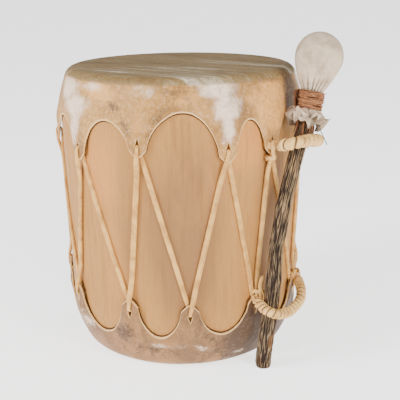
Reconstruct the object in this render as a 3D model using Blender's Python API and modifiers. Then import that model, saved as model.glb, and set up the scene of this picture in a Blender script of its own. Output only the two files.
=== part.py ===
"""A hand-made log drum with rawhide heads laced by one thong, with its beater in two wrapped handles.

Lengths are in metres and azimuths in degrees. +Z is up. The drum stands on z = 0 with its axis on the
Z axis and its front towards -Y. An azimuth runs from the front towards +X.
"""

import math
from typing import NamedTuple

import bmesh
import bpy
from mathutils import Vector

# The log
DRUM_HEIGHT = 0.360
TOP_RADIUS = 0.1537
BOTTOM_RADIUS = 0.1457
WALL_THICKNESS = 0.024
BEARING_LIP = 0.004
LOG_SIDES = 44

# The two hides
HIDE_THICKNESS = 0.002
HIDE_GAP = 0.0007
CLEARANCE = 0.0004
TAB_HALF_WIDTH = 0.0100
TAB_ROUNDING = 0.009
SLIT_HALF_WIDTH = 0.0033
SLIT_POINT_SHARE = 0.25
SLIT_START = 0.69
SLIT_END = 0.85
TAB_SLACK = 0.0010
LIFT_GROWTH = 1.5
TAB_EDGE_LIFT = 0.85
ARCH_SIDE_LIFT = 0.2
ARCH_SIDE_PLACE = 0.68
ARCH_ROUNDNESS = 0.62

# Rows of a hide down the drum's side, as shares of the way from the rim to the cut edge
SIDE_SHARES = (0, 0.22, 0.46, SLIT_START, SLIT_END, 1)

# The tabs, one value for each tab, cut by hand and so uneven
TOP_TAB_AZIMUTHS = (-51, -18.5, 19.5, 42, 77, 110, 143, 176, 209, 241, 274)
TOP_TAB_LENGTHS = (0.101, 0.089, 0.097, 0.094, 0.090, 0.096, 0.091, 0.095, 0.092, 0.096, 0.092)
TOP_ARCH_DEPTHS = (0.050, 0.038, 0.050, 0.046, 0.048, 0.042, 0.047, 0.043, 0.049, 0.045, 0.054)
BOTTOM_TAB_AZIMUTHS = (-61, -25.5, 2.5, 34.5, 66, 94, 128, 163, 197, 232, 266)
BOTTOM_TAB_LENGTHS = (0.094, 0.096, 0.093, 0.094, 0.092, 0.099, 0.094, 0.097, 0.092, 0.096, 0.103)
BOTTOM_ARCH_DEPTHS = (0.043, 0.048, 0.050, 0.046, 0.049, 0.044, 0.050, 0.045, 0.048, 0.046, 0.047)

# The thong
THONG_WIDTH = 0.0058
THONG_THICKNESS = 0.0022
THONG_WIDTH_IN_SLIT = 0.0040
THONG_REST = 0.0006
HAIRPIN_DROP = 0.0009
HAIRPIN_STEPS = 4
INNER_STRAND_SHARES = (0.14, 0.38, 0.62, 0.86)

# Each point of an outer strand between its slits: share of the way up, share of its full standoff
OUTER_STRAND_BOW = ((0.10, 1.00), (0.26, 0.62), (0.50, 0.48), (0.74, 0.62), (0.90, 1.00))

# The beater
STICK_RADIUS = 0.0092
FOOT_RADIUS = 0.0098
COLLAR_RADIUS = 0.0080
SOCKET_DEPTH = 0.030
HEAD_LENGTH = 0.080
HEAD_RADIUS = 0.0283
NECK_RADIUS = 0.0128
COVER_THICKNESS = 0.0022
SKIRT_LENGTH = 0.031
SKIRT_RADIUS = 0.0205
COVER_SIDES = 20
COVER_FOLDS = 5
SKIRT_UNEVENNESS = 0.013
CROWN_ANGLES = (12, 35, 60, 90)
CHEEK_SHARES = (0.3, 0.6, 0.85)
CHEEK_FOLDS = (0.02, 0.05, 0.06)
CHEEK_FULLNESS = 1.7
MID_SKIRT_FOLD = 0.10
HEM_FOLD = 0.17
BINDING_HEIGHT = 0.022
BINDING_RADIUS = 0.0158
BINDING_TURNS = 5
BINDING_SIDES = 16
TWINE_GROOVE = 0.0009

# The handles and the ties that hold their ends
HANDLE_RADIUS = 0.0056
HANDLE_PLAY = 0.0022
UPPER_WRAP_PITCH = 0.0105
LOWER_WRAP_PITCH = 0.0078
WRAP_GROOVE = 0.76
TIE_RADIUS = 0.0013
TIE_SETBACK = 0.005
TIE_STEPS = 8
TIE_ROUNDING = 1.22

# The neck of the beater, held below the drum's top by the upper handle
NECK_AZIMUTH = 57.4
NECK_STANDOFF = 0.0315
NECK_DROP = 0.0342
NECK_HEIGHT = DRUM_HEIGHT - NECK_DROP
HEAD_LEAN = (0.016, 0.010, 0.079)

# Each point of the stick: azimuth, standoff of its centre line from the wood, share of the neck's height
STICK_ROUTE = (
    (36.7, 0.0300, 0.0000),
    (36.7, 0.0300, 0.0307),
    (35.9, 0.0262, 0.1320),
    (36.8, 0.0245, 0.2149),
    (37.9, 0.0242, 0.2977),
    (39.3, 0.0232, 0.4604),
    (41.5, 0.0226, 0.5402),
    (44.4, 0.0220, 0.6384),
    (48.6, 0.0215, 0.7459),
    (51.2, 0.0226, 0.8165),
)

# The pair of tabs that a handle starts from. Each point of a handle: share of the way round to the
# next pair, share of its full bow, distance from its end of the drum
HANDLE_PAIR = 3
UPPER_HANDLE_ROUTE = (
    (0.000, 0.50, 0.0955),
    (-0.020, 0.56, 0.0870),
    (-0.010, 0.72, 0.0800),
    (0.006, 0.88, 0.0774),
    (0.057, 1.00, 0.0758),
    (0.173, 1.00, 0.0762),
    (0.298, 1.00, 0.0774),
    (0.466, 0.92, 0.0818),
    (0.640, 0.74, 0.0865),
    (0.780, 0.54, 0.0910),
    (0.880, 0.40, 0.0945),
)
LOWER_HANDLE_ROUTE = (
    (-0.115, 0.46, 0.0985),
    (-0.116, 0.62, 0.0905),
    (-0.088, 0.84, 0.0845),
    (-0.010, 1.01, 0.0808),
    (0.100, 1.02, 0.0782),
    (0.216, 1.02, 0.0780),
    (0.338, 1.00, 0.0808),
    (0.450, 0.96, 0.0851),
    (0.540, 0.86, 0.0905),
    (0.640, 0.70, 0.0940),
    (0.750, 0.53, 0.0960),
    (0.860, 0.40, 0.0975),
)


class LogEnd(NamedTuple):
    """One end of the log: which way it faces and how the wood turns in towards it."""

    sign: int
    shoulder_inset: float
    shoulder_height: float
    rim_height: float
    azimuths: tuple
    tab_lengths: tuple
    arch_depths: tuple

    @property
    def outer_z(self):
        return DRUM_HEIGHT if self.sign > 0 else 0.0

    @property
    def wood_z(self):
        return self.outer_z - self.sign * (HIDE_THICKNESS + HIDE_GAP)

    @property
    def rim_z(self):
        return self.wood_z - self.sign * self.rim_height

    def height(self, distance):
        return self.outer_z - self.sign * distance


TOP = LogEnd(1, 0.0102, 0.062, 0.008, TOP_TAB_AZIMUTHS, TOP_TAB_LENGTHS, TOP_ARCH_DEPTHS)
BOTTOM = LogEnd(-1, 0.0145, 0.062, 0.010, BOTTOM_TAB_AZIMUTHS, BOTTOM_TAB_LENGTHS, BOTTOM_ARCH_DEPTHS)
TAB_LIFT = THONG_THICKNESS + 2 * CLEARANCE - HIDE_GAP + TAB_SLACK
TAB_COUNT = len(TOP_TAB_AZIMUTHS)
INNER_STANDOFF = CLEARANCE + THONG_THICKNESS / 2
OUTER_STANDOFF = HIDE_GAP + TAB_LIFT + HIDE_THICKNESS + CLEARANCE + THONG_THICKNESS / 2 + THONG_REST
HAIRPIN_RADIUS = (OUTER_STANDOFF - INNER_STANDOFF) / 2

# Edges that turn by more than this many degrees stay sharp
SHARP_ANGLE = 40

# Colour, roughness of each material
FINISHES = {
    "log_wood": ((0.68, 0.43, 0.26), 0.62),
    "rawhide": ((0.62, 0.44, 0.27), 0.55),
    "thong_hide": ((0.70, 0.52, 0.33), 0.60),
    "wrap_hide": ((0.70, 0.54, 0.35), 0.65),
    "bark": ((0.18, 0.13, 0.10), 0.90),
    "soft_leather": ((0.74, 0.69, 0.62), 0.80),
    "bark_twine": ((0.32, 0.15, 0.09), 0.90),
}


def taper(z):
    """Radius of the plain tapered log at height z."""
    return BOTTOM_RADIUS + (TOP_RADIUS - BOTTOM_RADIUS) * z / DRUM_HEIGHT


def wall(z):
    """Radius of the wood and its slope dr/dz at height z, shoulders included."""
    z = min(max(z, BOTTOM.rim_z), TOP.rim_z)
    radius = taper(z)
    slope = (TOP_RADIUS - BOTTOM_RADIUS) / DRUM_HEIGHT
    for end in (TOP, BOTTOM):
        share = 1 - abs(z - end.rim_z) / end.shoulder_height
        if share > 0:
            radius -= end.shoulder_inset * share ** 2
            slope -= end.sign * 2 * end.shoulder_inset * share / end.shoulder_height
    return radius, slope


def side_point(z, offset):
    """Radius and height of the point at an offset square to the wood at height z."""
    radius, slope = wall(z)
    square = 1 / math.hypot(1, slope)
    return radius + offset * square, z - offset * slope * square


def rim_arc(end, offset, share):
    """Radius and height on the rounded rim, from 0 at the side to 1 at the flat face."""
    radius, slope = wall(end.rim_z)
    start = math.atan(abs(slope))
    rounding = end.rim_height / (1 - math.sin(start))
    angle = start + (math.pi / 2 - start) * share
    centre_radius = radius - rounding * math.cos(start)
    centre_z = end.rim_z - end.sign * rounding * math.sin(start)
    return (centre_radius + (rounding + offset) * math.cos(angle),
            centre_z + end.sign * (rounding + offset) * math.sin(angle))


def polar(azimuth, radius, z):
    """Point at an azimuth, a radius and a height."""
    angle = math.radians(azimuth)
    return Vector((radius * math.sin(angle), -radius * math.cos(angle), z))


def around(azimuth):
    """Unit direction in which the azimuth grows."""
    angle = math.radians(azimuth)
    return Vector((math.cos(angle), math.sin(angle), 0))


def on_wall(azimuth, standoff, z):
    """Point that stands off the wood by a distance."""
    return polar(azimuth, wall(z)[0] + standoff, z)


def smooth_route(points, steps):
    """Catmull-Rom curve through the points, with a number of steps between each two."""
    padded = [points[0] * 2 - points[1], *points, points[-1] * 2 - points[-2]]
    route = []
    for a, b, c, d in zip(padded, padded[1:], padded[2:], padded[3:]):
        for step in range(steps):
            t = step / steps
            route.append(0.5 * (2 * b + (c - a) * t + (2 * a - 5 * b + 4 * c - d) * t ** 2
                                + (3 * b - a - 3 * c + d) * t ** 3))
    return [*route, points[-1]]


def material(name):
    """Principled material of a finish, made once."""
    found = bpy.data.materials.get(name)
    if found:
        return found
    colour, roughness = FINISHES[name]
    made = bpy.data.materials.new(name)
    made.use_nodes = True
    shader = made.node_tree.nodes["Principled BSDF"]
    shader.inputs["Base Color"].default_value = (*colour, 1)
    shader.inputs["Roughness"].default_value = roughness
    shader.inputs["Metallic"].default_value = 0
    return made


def add_object(name, data, finish, collection):
    """Object with a finish, linked to the drum's collection."""
    data.materials.append(material(finish))
    made = bpy.data.objects.new(name, data)
    collection.objects.link(made)
    return made


def mesh_from(name, vertices, faces):
    """Mesh whose faces are made from lists of vertex numbers."""
    mesh = bpy.data.meshes.new(name)
    mesh.from_pydata([tuple(vertex) for vertex in vertices], [], faces)
    mesh.validate()
    return mesh


def shade_round(mesh):
    """Smooth shading with sharp edges kept."""
    mesh.shade_smooth()
    mesh.set_sharp_from_angle(angle=math.radians(SHARP_ANGLE))


def turned(name, profile, steps, finish, collection):
    """Ring-shaped body turned from a closed profile that runs down its outer side."""
    mesh = bpy.data.meshes.new(name)
    count = len(profile)
    edges = [(i, (i + 1) % count) for i in range(count)]
    mesh.from_pydata([(radius, 0, z) for radius, z in profile], edges, [])
    made = add_object(name, mesh, finish, collection)
    screw = made.modifiers.new("Turn", "SCREW")
    screw.angle = math.tau
    screw.steps = steps
    screw.render_steps = steps
    screw.merge_threshold = 0.00001
    screw.use_smooth_shade = True
    return made


def tube(name, points, radii, sides_step, finish, collection, cyclic=False):
    """Round bar along the points, with its own radius at each."""
    curve = bpy.data.curves.new(name, "CURVE")
    curve.dimensions = "3D"
    curve.bevel_depth = max(radii)
    curve.bevel_resolution = sides_step
    curve.use_fill_caps = True
    spline = curve.splines.new("POLY")
    spline.points.add(len(points) - 1)
    for place, point, radius in zip(spline.points, points, radii):
        place.co = (*point, 1)
        place.radius = radius / max(radii)
    spline.use_cyclic_u = cyclic
    spline.use_smooth = True
    return add_object(name, curve, finish, collection)


def loft(rings, closed):
    """Faces between rings of equal count, with fans over the ends unless the loft is closed."""
    vertices = [point for ring in rings for point in ring]
    sides = len(rings[0])
    bands = len(rings) if closed else len(rings) - 1
    faces = []
    for band in range(bands):
        here = band * sides
        there = (band + 1) % len(rings) * sides
        for i in range(sides):
            j = (i + 1) % sides
            faces.append((here + i, here + j, there + j, there + i))
    if not closed:
        faces.append(tuple(reversed(range(sides))))
        last = (len(rings) - 1) * sides
        faces.append(tuple(range(last, last + sides)))
    return vertices, faces


def make_shell(collection):
    """Hollow log, open at both ends under the hides."""
    outer = [rim_arc(TOP, 0, share) for share in (1, 0.5, 0)]
    outer += [side_point(z, 0) for z in side_heights()]
    outer += [rim_arc(BOTTOM, 0, share) for share in (0, 0.5, 1)]
    inner = [(rim_arc(BOTTOM, 0, 1)[0] - BEARING_LIP, BOTTOM.wood_z)]
    for z in (BOTTOM.rim_z + BOTTOM.shoulder_height / 2, TOP.rim_z - TOP.shoulder_height / 2):
        inner.append((wall(z)[0] - WALL_THICKNESS, z))
    inner.append((rim_arc(TOP, 0, 1)[0] - BEARING_LIP, TOP.wood_z))
    turned("shell", outer + inner, LOG_SIDES, "log_wood", collection)


def side_heights():
    """Heights of the rows between the two rims, close together on the shoulders."""
    heights = [TOP.rim_z - TOP.shoulder_height * share for share in (0.4, 1)]
    heights += [BOTTOM.rim_z + BOTTOM.shoulder_height * share for share in (1, 0.4)]
    return heights


class Column(NamedTuple):
    """One line of the hide from the middle of the face to its cut edge."""

    azimuth: float
    edge_z: float
    lift: float
    slit_side: int
    tab_azimuth: float


def hide_columns(end):
    """Columns of a hide all the way round: four on each tab and three on each arch."""
    columns = []
    for k in range(TAB_COUNT):
        azimuth = end.azimuths[k]
        following = end.azimuths[(k + 1) % TAB_COUNT] + (360 if k == TAB_COUNT - 1 else 0)
        length = end.tab_lengths[k]
        next_length = end.tab_lengths[(k + 1) % TAB_COUNT]
        radius = wall(end.height(length))[0]
        half_tab = math.degrees(TAB_HALF_WIDTH / radius)
        half_slit = math.degrees(SLIT_HALF_WIDTH / radius)
        shoulder_z = end.height(length - TAB_ROUNDING)
        columns.append(Column(azimuth - half_tab, shoulder_z, TAB_EDGE_LIFT, 0, azimuth))
        columns.append(Column(azimuth - half_slit, end.height(length), 1, -1, azimuth))
        columns.append(Column(azimuth + half_slit, end.height(length), 1, 1, azimuth))
        columns.append(Column(azimuth + half_tab, shoulder_z, TAB_EDGE_LIFT, 0, azimuth))
        middle = (azimuth + following) / 2
        half_arch = (following - azimuth) / 2 - half_tab
        for side in (-1, 0, 1):
            u = side * ARCH_SIDE_PLACE
            low = (length + next_length) / 2 + (next_length - length) / 2 * u - TAB_ROUNDING
            depth = low - (low - end.arch_depths[k]) * (1 - u * u) ** ARCH_ROUNDNESS
            lift = ARCH_SIDE_LIFT * abs(side)
            columns.append(Column(middle + u * half_arch, end.height(depth), lift, 0, middle))
    return columns


def tab_lift(column, share):
    """How far the hide stands off the wood, growing from the rim down to the tab's slit."""
    grown = min(share / SLIT_START, 1)
    return TAB_LIFT * column.lift * grown ** LIFT_GROWTH


def column_points(end, column):
    """Points of the hide's inner face on one column, from the flat face to the cut edge."""
    points = [polar(column.azimuth, *rim_arc(end, HIDE_GAP, share)) for share in (1, 0.5)]
    for share in SIDE_SHARES:
        z = end.rim_z + (column.edge_z - end.rim_z) * share
        radius, height = side_point(z, HIDE_GAP + tab_lift(column, share))
        azimuth = column.azimuth
        if column.slit_side and share == SLIT_START:
            azimuth = column.tab_azimuth + (azimuth - column.tab_azimuth) * SLIT_POINT_SHARE
        points.append(polar(azimuth, radius, height))
    return points


def make_head(name, end, collection):
    """Hide stretched over one end, with its scalloped skirt and a slit in each tab."""
    columns = hide_columns(end)
    rows = len(SIDE_SHARES) + 2
    vertices = [Vector((0, 0, end.wood_z + end.sign * HIDE_GAP))]
    for column in columns:
        vertices += column_points(end, column)
    slit_row = 2 + SIDE_SHARES.index(SLIT_START)
    faces = []
    for i, column in enumerate(columns):
        here = 1 + i * rows
        there = 1 + (i + 1) % len(columns) * rows
        bands = [(0, here, there)]
        for row in range(rows - 1):
            if column.slit_side == -1 and row == slit_row:
                continue
            bands.append((here + row, here + row + 1, there + row + 1, there + row))
        faces += [band if end.sign > 0 else tuple(reversed(band)) for band in bands]
    mesh = mesh_from(name, vertices, faces)
    head = add_object(name, mesh, "rawhide", collection)
    skin = head.modifiers.new("Thickness", "SOLIDIFY")
    skin.thickness = HIDE_THICKNESS
    skin.offset = 1
    skin.use_even_offset = True
    mesh.shade_smooth()


def slit_z(end, k):
    """Height of the tip side of the slit in tab k."""
    tip_z = end.height(end.tab_lengths[k])
    return end.rim_z + (tip_z - end.rim_z) * SLIT_END


def hairpin(end, k):
    """Thong through the slit of tab k, from outside to inside, as azimuth, standoff and height."""
    base_z = slit_z(end, k) - end.sign * HAIRPIN_DROP
    middle = (OUTER_STANDOFF + INNER_STANDOFF) / 2
    bend = []
    for step in range(HAIRPIN_STEPS + 1):
        angle = math.pi * step / HAIRPIN_STEPS
        bend.append((end.azimuths[k], middle + HAIRPIN_RADIUS * math.cos(angle),
                     base_z + end.sign * HAIRPIN_RADIUS * math.sin(angle)))
    return bend


def strand_place(k, share, bow):
    """Azimuth, standoff and height on the outer strand of pair k, from its bottom slit to its top one."""
    below, above = hairpin(BOTTOM, k)[0], hairpin(TOP, k)[0]
    azimuth = below[0] + (above[0] - below[0]) * share
    return azimuth, OUTER_STANDOFF * bow, below[2] + (above[2] - below[2]) * share


def thong_route():
    """Centre line of the whole thong: place, azimuth and width, up outside and down inside."""
    route = []
    for k in range(TAB_COUNT):
        for place in reversed(hairpin(BOTTOM, k)):
            route.append((on_wall(*place), place[0], THONG_WIDTH_IN_SLIT))
        for share, bow in OUTER_STRAND_BOW:
            place = strand_place(k, share, bow)
            route.append((on_wall(*place), place[0], THONG_WIDTH))
        for place in hairpin(TOP, k):
            route.append((on_wall(*place), place[0], THONG_WIDTH_IN_SLIT))
        start = hairpin(TOP, k)[-1]
        following = (k + 1) % TAB_COUNT
        finish = hairpin(BOTTOM, following)[-1]
        turn = finish[0] - start[0] + (360 if following == 0 else 0)
        for share in INNER_STRAND_SHARES:
            azimuth = start[0] + turn * share
            z = start[2] + (finish[2] - start[2]) * share
            route.append((on_wall(azimuth, INNER_STANDOFF, z), azimuth, THONG_WIDTH))
    return route


def make_lacing(collection):
    """One closed thong that zigzags round the drum through every slit."""
    route = thong_route()
    rings = []
    for i, (point, azimuth, width) in enumerate(route):
        before = route[i - 1][0]
        after = route[(i + 1) % len(route)][0]
        along = ((point - before).normalized() + (after - point).normalized()).normalized()
        across = around(azimuth)
        across = (across - along * across.dot(along)).normalized()
        up = across.cross(along)
        half_width = across * width / 2
        half_thick = up * THONG_THICKNESS / 2
        rings.append([point + half_width + half_thick, point + half_width - half_thick,
                      point - half_width - half_thick, point - half_width + half_thick])
    mesh = mesh_from("lacing", *loft(rings, True))
    bundle = bmesh.new()
    bundle.from_mesh(mesh)
    bmesh.ops.recalc_face_normals(bundle, faces=bundle.faces)
    bundle.to_mesh(mesh)
    bundle.free()
    add_object("lacing", mesh, "thong_hide", collection)
    shade_round(mesh)


def make_tie(name, k, z, collection):
    """Small thong ring round the outer strand of pair k, which holds one end of a handle."""
    bottom_z, top_z = hairpin(BOTTOM, k)[0][2], hairpin(TOP, k)[0][2]
    place = strand_place(k, (z - bottom_z) / (top_z - bottom_z), 1)
    centre = on_wall(*place)
    along = (on_wall(*hairpin(TOP, k)[0]) - on_wall(*hairpin(BOTTOM, k)[0])).normalized()
    across = around(place[0])
    across = (across - along * across.dot(along)).normalized()
    outward = across.cross(along)
    wide = THONG_WIDTH / 2 * TIE_ROUNDING + 2 * CLEARANCE + TIE_RADIUS
    deep = THONG_THICKNESS / 2 * TIE_ROUNDING + 2 * CLEARANCE + TIE_RADIUS
    points = []
    for step in range(TIE_STEPS):
        angle = math.tau * step / TIE_STEPS
        points.append(centre + across * wide * math.cos(angle) + outward * deep * math.sin(angle))
    tube(name, points, [TIE_RADIUS] * TIE_STEPS, 1, "thong_hide", collection, cyclic=True)


def stick_points():
    """Centre line of the crooked stick, ending straight in the socket of its head."""
    neck, lean = neck_frame()
    points = [on_wall(azimuth, standoff, NECK_HEIGHT * share) for azimuth, standoff, share in STICK_ROUTE]
    points.append(neck - lean * SKIRT_LENGTH)
    smooth = smooth_route(points[1:], 2)
    mouth = neck - lean * BINDING_HEIGHT / 2
    return [points[0], *smooth, mouth, neck + lean * (SOCKET_DEPTH - CLEARANCE)]


def neck_frame():
    """Middle of the beater's neck and the direction in which its head leans."""
    return on_wall(NECK_AZIMUTH, NECK_STANDOFF, NECK_HEIGHT), Vector(HEAD_LEAN).normalized()


def make_stick(collection):
    """Branch with its bark on, from the ground up into the head's socket."""
    points = stick_points()
    neck, lean = neck_frame()
    radii = []
    for point in points:
        share = min(max(point.z / NECK_HEIGHT, 0), 1)
        radius = FOOT_RADIUS + (STICK_RADIUS - FOOT_RADIUS) * min(share / 0.4, 1)
        entered = (point - neck).dot(lean) + SKIRT_LENGTH
        inside = min(max(entered / (SKIRT_LENGTH - BINDING_HEIGHT / 2), 0), 1)
        radii.append(radius + (COLLAR_RADIUS - radius) * inside)
    tube("beater_stick", points, radii, 3, "bark", collection)


def head_rings(neck, lean):
    """Rings of the beater's cover: outside from crown to skirt, then inside up to the socket's end."""
    across = lean.orthogonal().normalized()
    over = lean.cross(across)
    belly = HEAD_LENGTH - HEAD_RADIUS
    neck_top = BINDING_HEIGHT / 2
    bore = COLLAR_RADIUS + CLEARANCE
    outside = []
    for angle in CROWN_ANGLES:
        outside.append((HEAD_RADIUS * math.sin(math.radians(angle)),
                        belly + HEAD_RADIUS * math.cos(math.radians(angle)), 0.0))
    for share, fold in zip(CHEEK_SHARES, CHEEK_FOLDS):
        ease = 1 - share ** CHEEK_FULLNESS
        outside.append((NECK_RADIUS + (HEAD_RADIUS - NECK_RADIUS) * ease,
                        belly + (neck_top - belly) * share, fold))
    outside.append((NECK_RADIUS, neck_top, 0.0))
    outside.append((NECK_RADIUS, -neck_top, 0.0))
    mid_radius = (NECK_RADIUS + SKIRT_RADIUS) / 2
    mid_height = -(neck_top + SKIRT_LENGTH) / 2
    outside.append((mid_radius, mid_height, MID_SKIRT_FOLD))
    outside.append((SKIRT_RADIUS, -SKIRT_LENGTH, HEM_FOLD))
    inside = [(SKIRT_RADIUS - COVER_THICKNESS, -SKIRT_LENGTH, HEM_FOLD),
              (mid_radius - COVER_THICKNESS, mid_height, MID_SKIRT_FOLD),
              (bore, -neck_top, 0.0), (bore, SOCKET_DEPTH, 0.0)]
    rings = []
    for radius, height, fold in outside + inside:
        ring = []
        for i in range(COVER_SIDES):
            angle = math.tau * i / COVER_SIDES
            wave = radius * (1 + fold * math.cos(COVER_FOLDS * angle))
            drop = fold * SKIRT_UNEVENNESS * math.sin(2 * angle)
            side = across * math.cos(angle) + over * math.sin(angle)
            ring.append(neck + side * wave + lean * (height - drop))
        rings.append(ring)
    return rings


def make_beater_head(collection):
    """Stuffed leather cover with its flared skirt, open below for the stick."""
    neck, lean = neck_frame()
    mesh = mesh_from("beater_head", *loft(head_rings(neck, lean), False))
    bundle = bmesh.new()
    bundle.from_mesh(mesh)
    bmesh.ops.recalc_face_normals(bundle, faces=bundle.faces)
    bundle.to_mesh(mesh)
    bundle.free()
    add_object("beater_head", mesh, "soft_leather", collection)
    shade_round(mesh)


def make_binding(collection):
    """Turns of twine that tie the cover round the neck."""
    neck, lean = neck_frame()
    half = BINDING_HEIGHT / 2 - CLEARANCE
    bore = NECK_RADIUS + CLEARANCE
    turn = 2 * half / BINDING_TURNS
    profile = [(bore, half)]
    for i in range(BINDING_TURNS):
        top = half - i * turn
        profile += [(BINDING_RADIUS - TWINE_GROOVE, top - CLEARANCE), (BINDING_RADIUS, top - turn / 2)]
    profile += [(BINDING_RADIUS - TWINE_GROOVE, -half), (bore, -half)]
    binding = turned("beater_binding", profile, BINDING_SIDES, "bark_twine", collection)
    binding.location = neck
    binding.rotation_euler = lean.to_track_quat("Z", "Y").to_euler()


def handle_standoff(share, z):
    """Standoff of a handle's centre line, wide enough at full bow to clear the stick."""
    points = stick_points()
    nearest = min(points, key=lambda point: abs(point.z - z))
    stick_standoff = math.hypot(nearest.x, nearest.y) - wall(z)[0]
    return share * (stick_standoff + STICK_RADIUS + HANDLE_RADIUS + HANDLE_PLAY)


def make_handle(name, end, route, pitch, collection):
    """Rawhide strip wound into a handle, bowed out from the drum round the stick."""
    places = []
    start, finish = end.azimuths[HANDLE_PAIR], end.azimuths[HANDLE_PAIR + 1]
    for way, share, distance in route:
        azimuth = start + (finish - start) * way
        z = end.height(distance)
        places.append(on_wall(azimuth, handle_standoff(share, z), z))
    line = smooth_route(places, 12)
    lengths = [0.0]
    for before, after in zip(line, line[1:]):
        lengths.append(lengths[-1] + (after - before).length)
    turns = max(round(lengths[-1] / pitch), 1)
    points = []
    radii = []
    for step in range(2 * turns + 1):
        wanted = lengths[-1] * step / (2 * turns)
        index = min(range(len(lengths)), key=lambda i: abs(lengths[i] - wanted))
        points.append(line[index])
        radii.append(HANDLE_RADIUS * (WRAP_GROOVE if step % 2 == 0 else 1))
    tube(name, points, radii, 2, "wrap_hide", collection)


def main():
    """Clear the scene and build every piece of the drum and its beater."""
    for old in list(bpy.data.objects):
        bpy.data.objects.remove(old, do_unlink=True)
    drum = bpy.data.collections.new("ceremonial_drum")
    bpy.context.scene.collection.children.link(drum)
    make_shell(drum)
    make_head("top_head", TOP, drum)
    make_head("bottom_head", BOTTOM, drum)
    make_lacing(drum)
    for side, pair in (("front", HANDLE_PAIR), ("back", HANDLE_PAIR + 1)):
        top_tie_z = TOP.height(TOP_TAB_LENGTHS[pair] + TIE_SETBACK)
        bottom_tie_z = BOTTOM.height(BOTTOM_TAB_LENGTHS[pair] + TIE_SETBACK)
        make_tie(f"upper_handle_tie_{side}", pair, top_tie_z, drum)
        make_tie(f"lower_handle_tie_{side}", pair, bottom_tie_z, drum)
    make_handle("upper_handle", TOP, UPPER_HANDLE_ROUTE, UPPER_WRAP_PITCH, drum)
    make_handle("lower_handle", BOTTOM, LOWER_HANDLE_ROUTE, LOWER_WRAP_PITCH, drum)
    make_stick(drum)
    make_beater_head(drum)
    make_binding(drum)


main()
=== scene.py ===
"""A hand-made log drum with rawhide heads, thong lacing and a padded beater, dressed for its studio view.

Lengths are in metres and azimuths in degrees. +Z is up and the drum's front is towards -Y. An azimuth
runs from the front towards +X. Colours are given as red, green and blue from 0 to 255, as the eye sees them.
"""

import logging
import math
from dataclasses import dataclass
from enum import Enum
from functools import cached_property
from typing import Callable, NamedTuple, Sequence

import bpy
import numpy as np
from mathutils import Matrix, Vector, noise


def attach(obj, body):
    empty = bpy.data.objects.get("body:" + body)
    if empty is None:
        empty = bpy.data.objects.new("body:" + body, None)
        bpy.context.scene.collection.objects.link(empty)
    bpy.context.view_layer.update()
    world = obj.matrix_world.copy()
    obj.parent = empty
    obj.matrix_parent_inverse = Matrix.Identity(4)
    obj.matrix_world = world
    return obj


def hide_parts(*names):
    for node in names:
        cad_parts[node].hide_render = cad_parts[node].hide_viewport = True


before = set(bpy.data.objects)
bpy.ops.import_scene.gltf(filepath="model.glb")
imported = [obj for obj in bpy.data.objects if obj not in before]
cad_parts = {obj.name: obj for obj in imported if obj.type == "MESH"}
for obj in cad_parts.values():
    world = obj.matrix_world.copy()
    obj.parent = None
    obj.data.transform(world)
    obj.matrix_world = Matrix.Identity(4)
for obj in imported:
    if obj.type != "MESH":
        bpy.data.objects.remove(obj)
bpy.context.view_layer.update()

log = logging.getLogger("log_drum")

Object = bpy.types.Object
Material = bpy.types.Material
Socket = bpy.types.NodeSocket
Triple = tuple[float, float, float]
Colour = Triple
Points = list[Vector]
Face = tuple[int, ...]
Section = Callable[[int, float], Triple]

# Depth of a crease in a thong, in metres, at which it is as dark as creases get.
DEEP_CREASE = 0.0004


# The drum's own shape


class LogEnd(NamedTuple):
    """One end of the log, the hide on it and how the tabs of that hide are cut.

    Attributes:
        sign: 1 at the top and -1 at the bottom.
        shoulder_inset: how far the wood turns in from the shoulder to the rim.
        rim_height: height of the rounded rim.
        azimuths: where the middle of each tab is.
        lengths: reach of each tab from the drum's end.
        arches: depth of the arch that follows each tab.
    """

    sign: int
    shoulder_inset: float
    rim_height: float
    azimuths: tuple[float, ...]
    lengths: tuple[float, ...]
    arches: tuple[float, ...]


TOP = LogEnd(
    1, 0.0102, 0.008,
    (-51, -18.5, 19.5, 42, 77, 110, 143, 176, 209, 241, 274),
    (0.101, 0.089, 0.097, 0.094, 0.090, 0.096, 0.091, 0.095, 0.092, 0.096, 0.092),
    (0.050, 0.038, 0.050, 0.046, 0.048, 0.042, 0.047, 0.043, 0.049, 0.045, 0.054),
)
BOTTOM = LogEnd(
    -1, 0.0145, 0.010,
    (-61, -25.5, 2.5, 34.5, 66, 94, 128, 163, 197, 232, 266),
    (0.094, 0.096, 0.093, 0.094, 0.092, 0.099, 0.094, 0.097, 0.092, 0.096, 0.103),
    (0.043, 0.048, 0.050, 0.046, 0.049, 0.044, 0.050, 0.045, 0.048, 0.046, 0.047),
)


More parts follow.
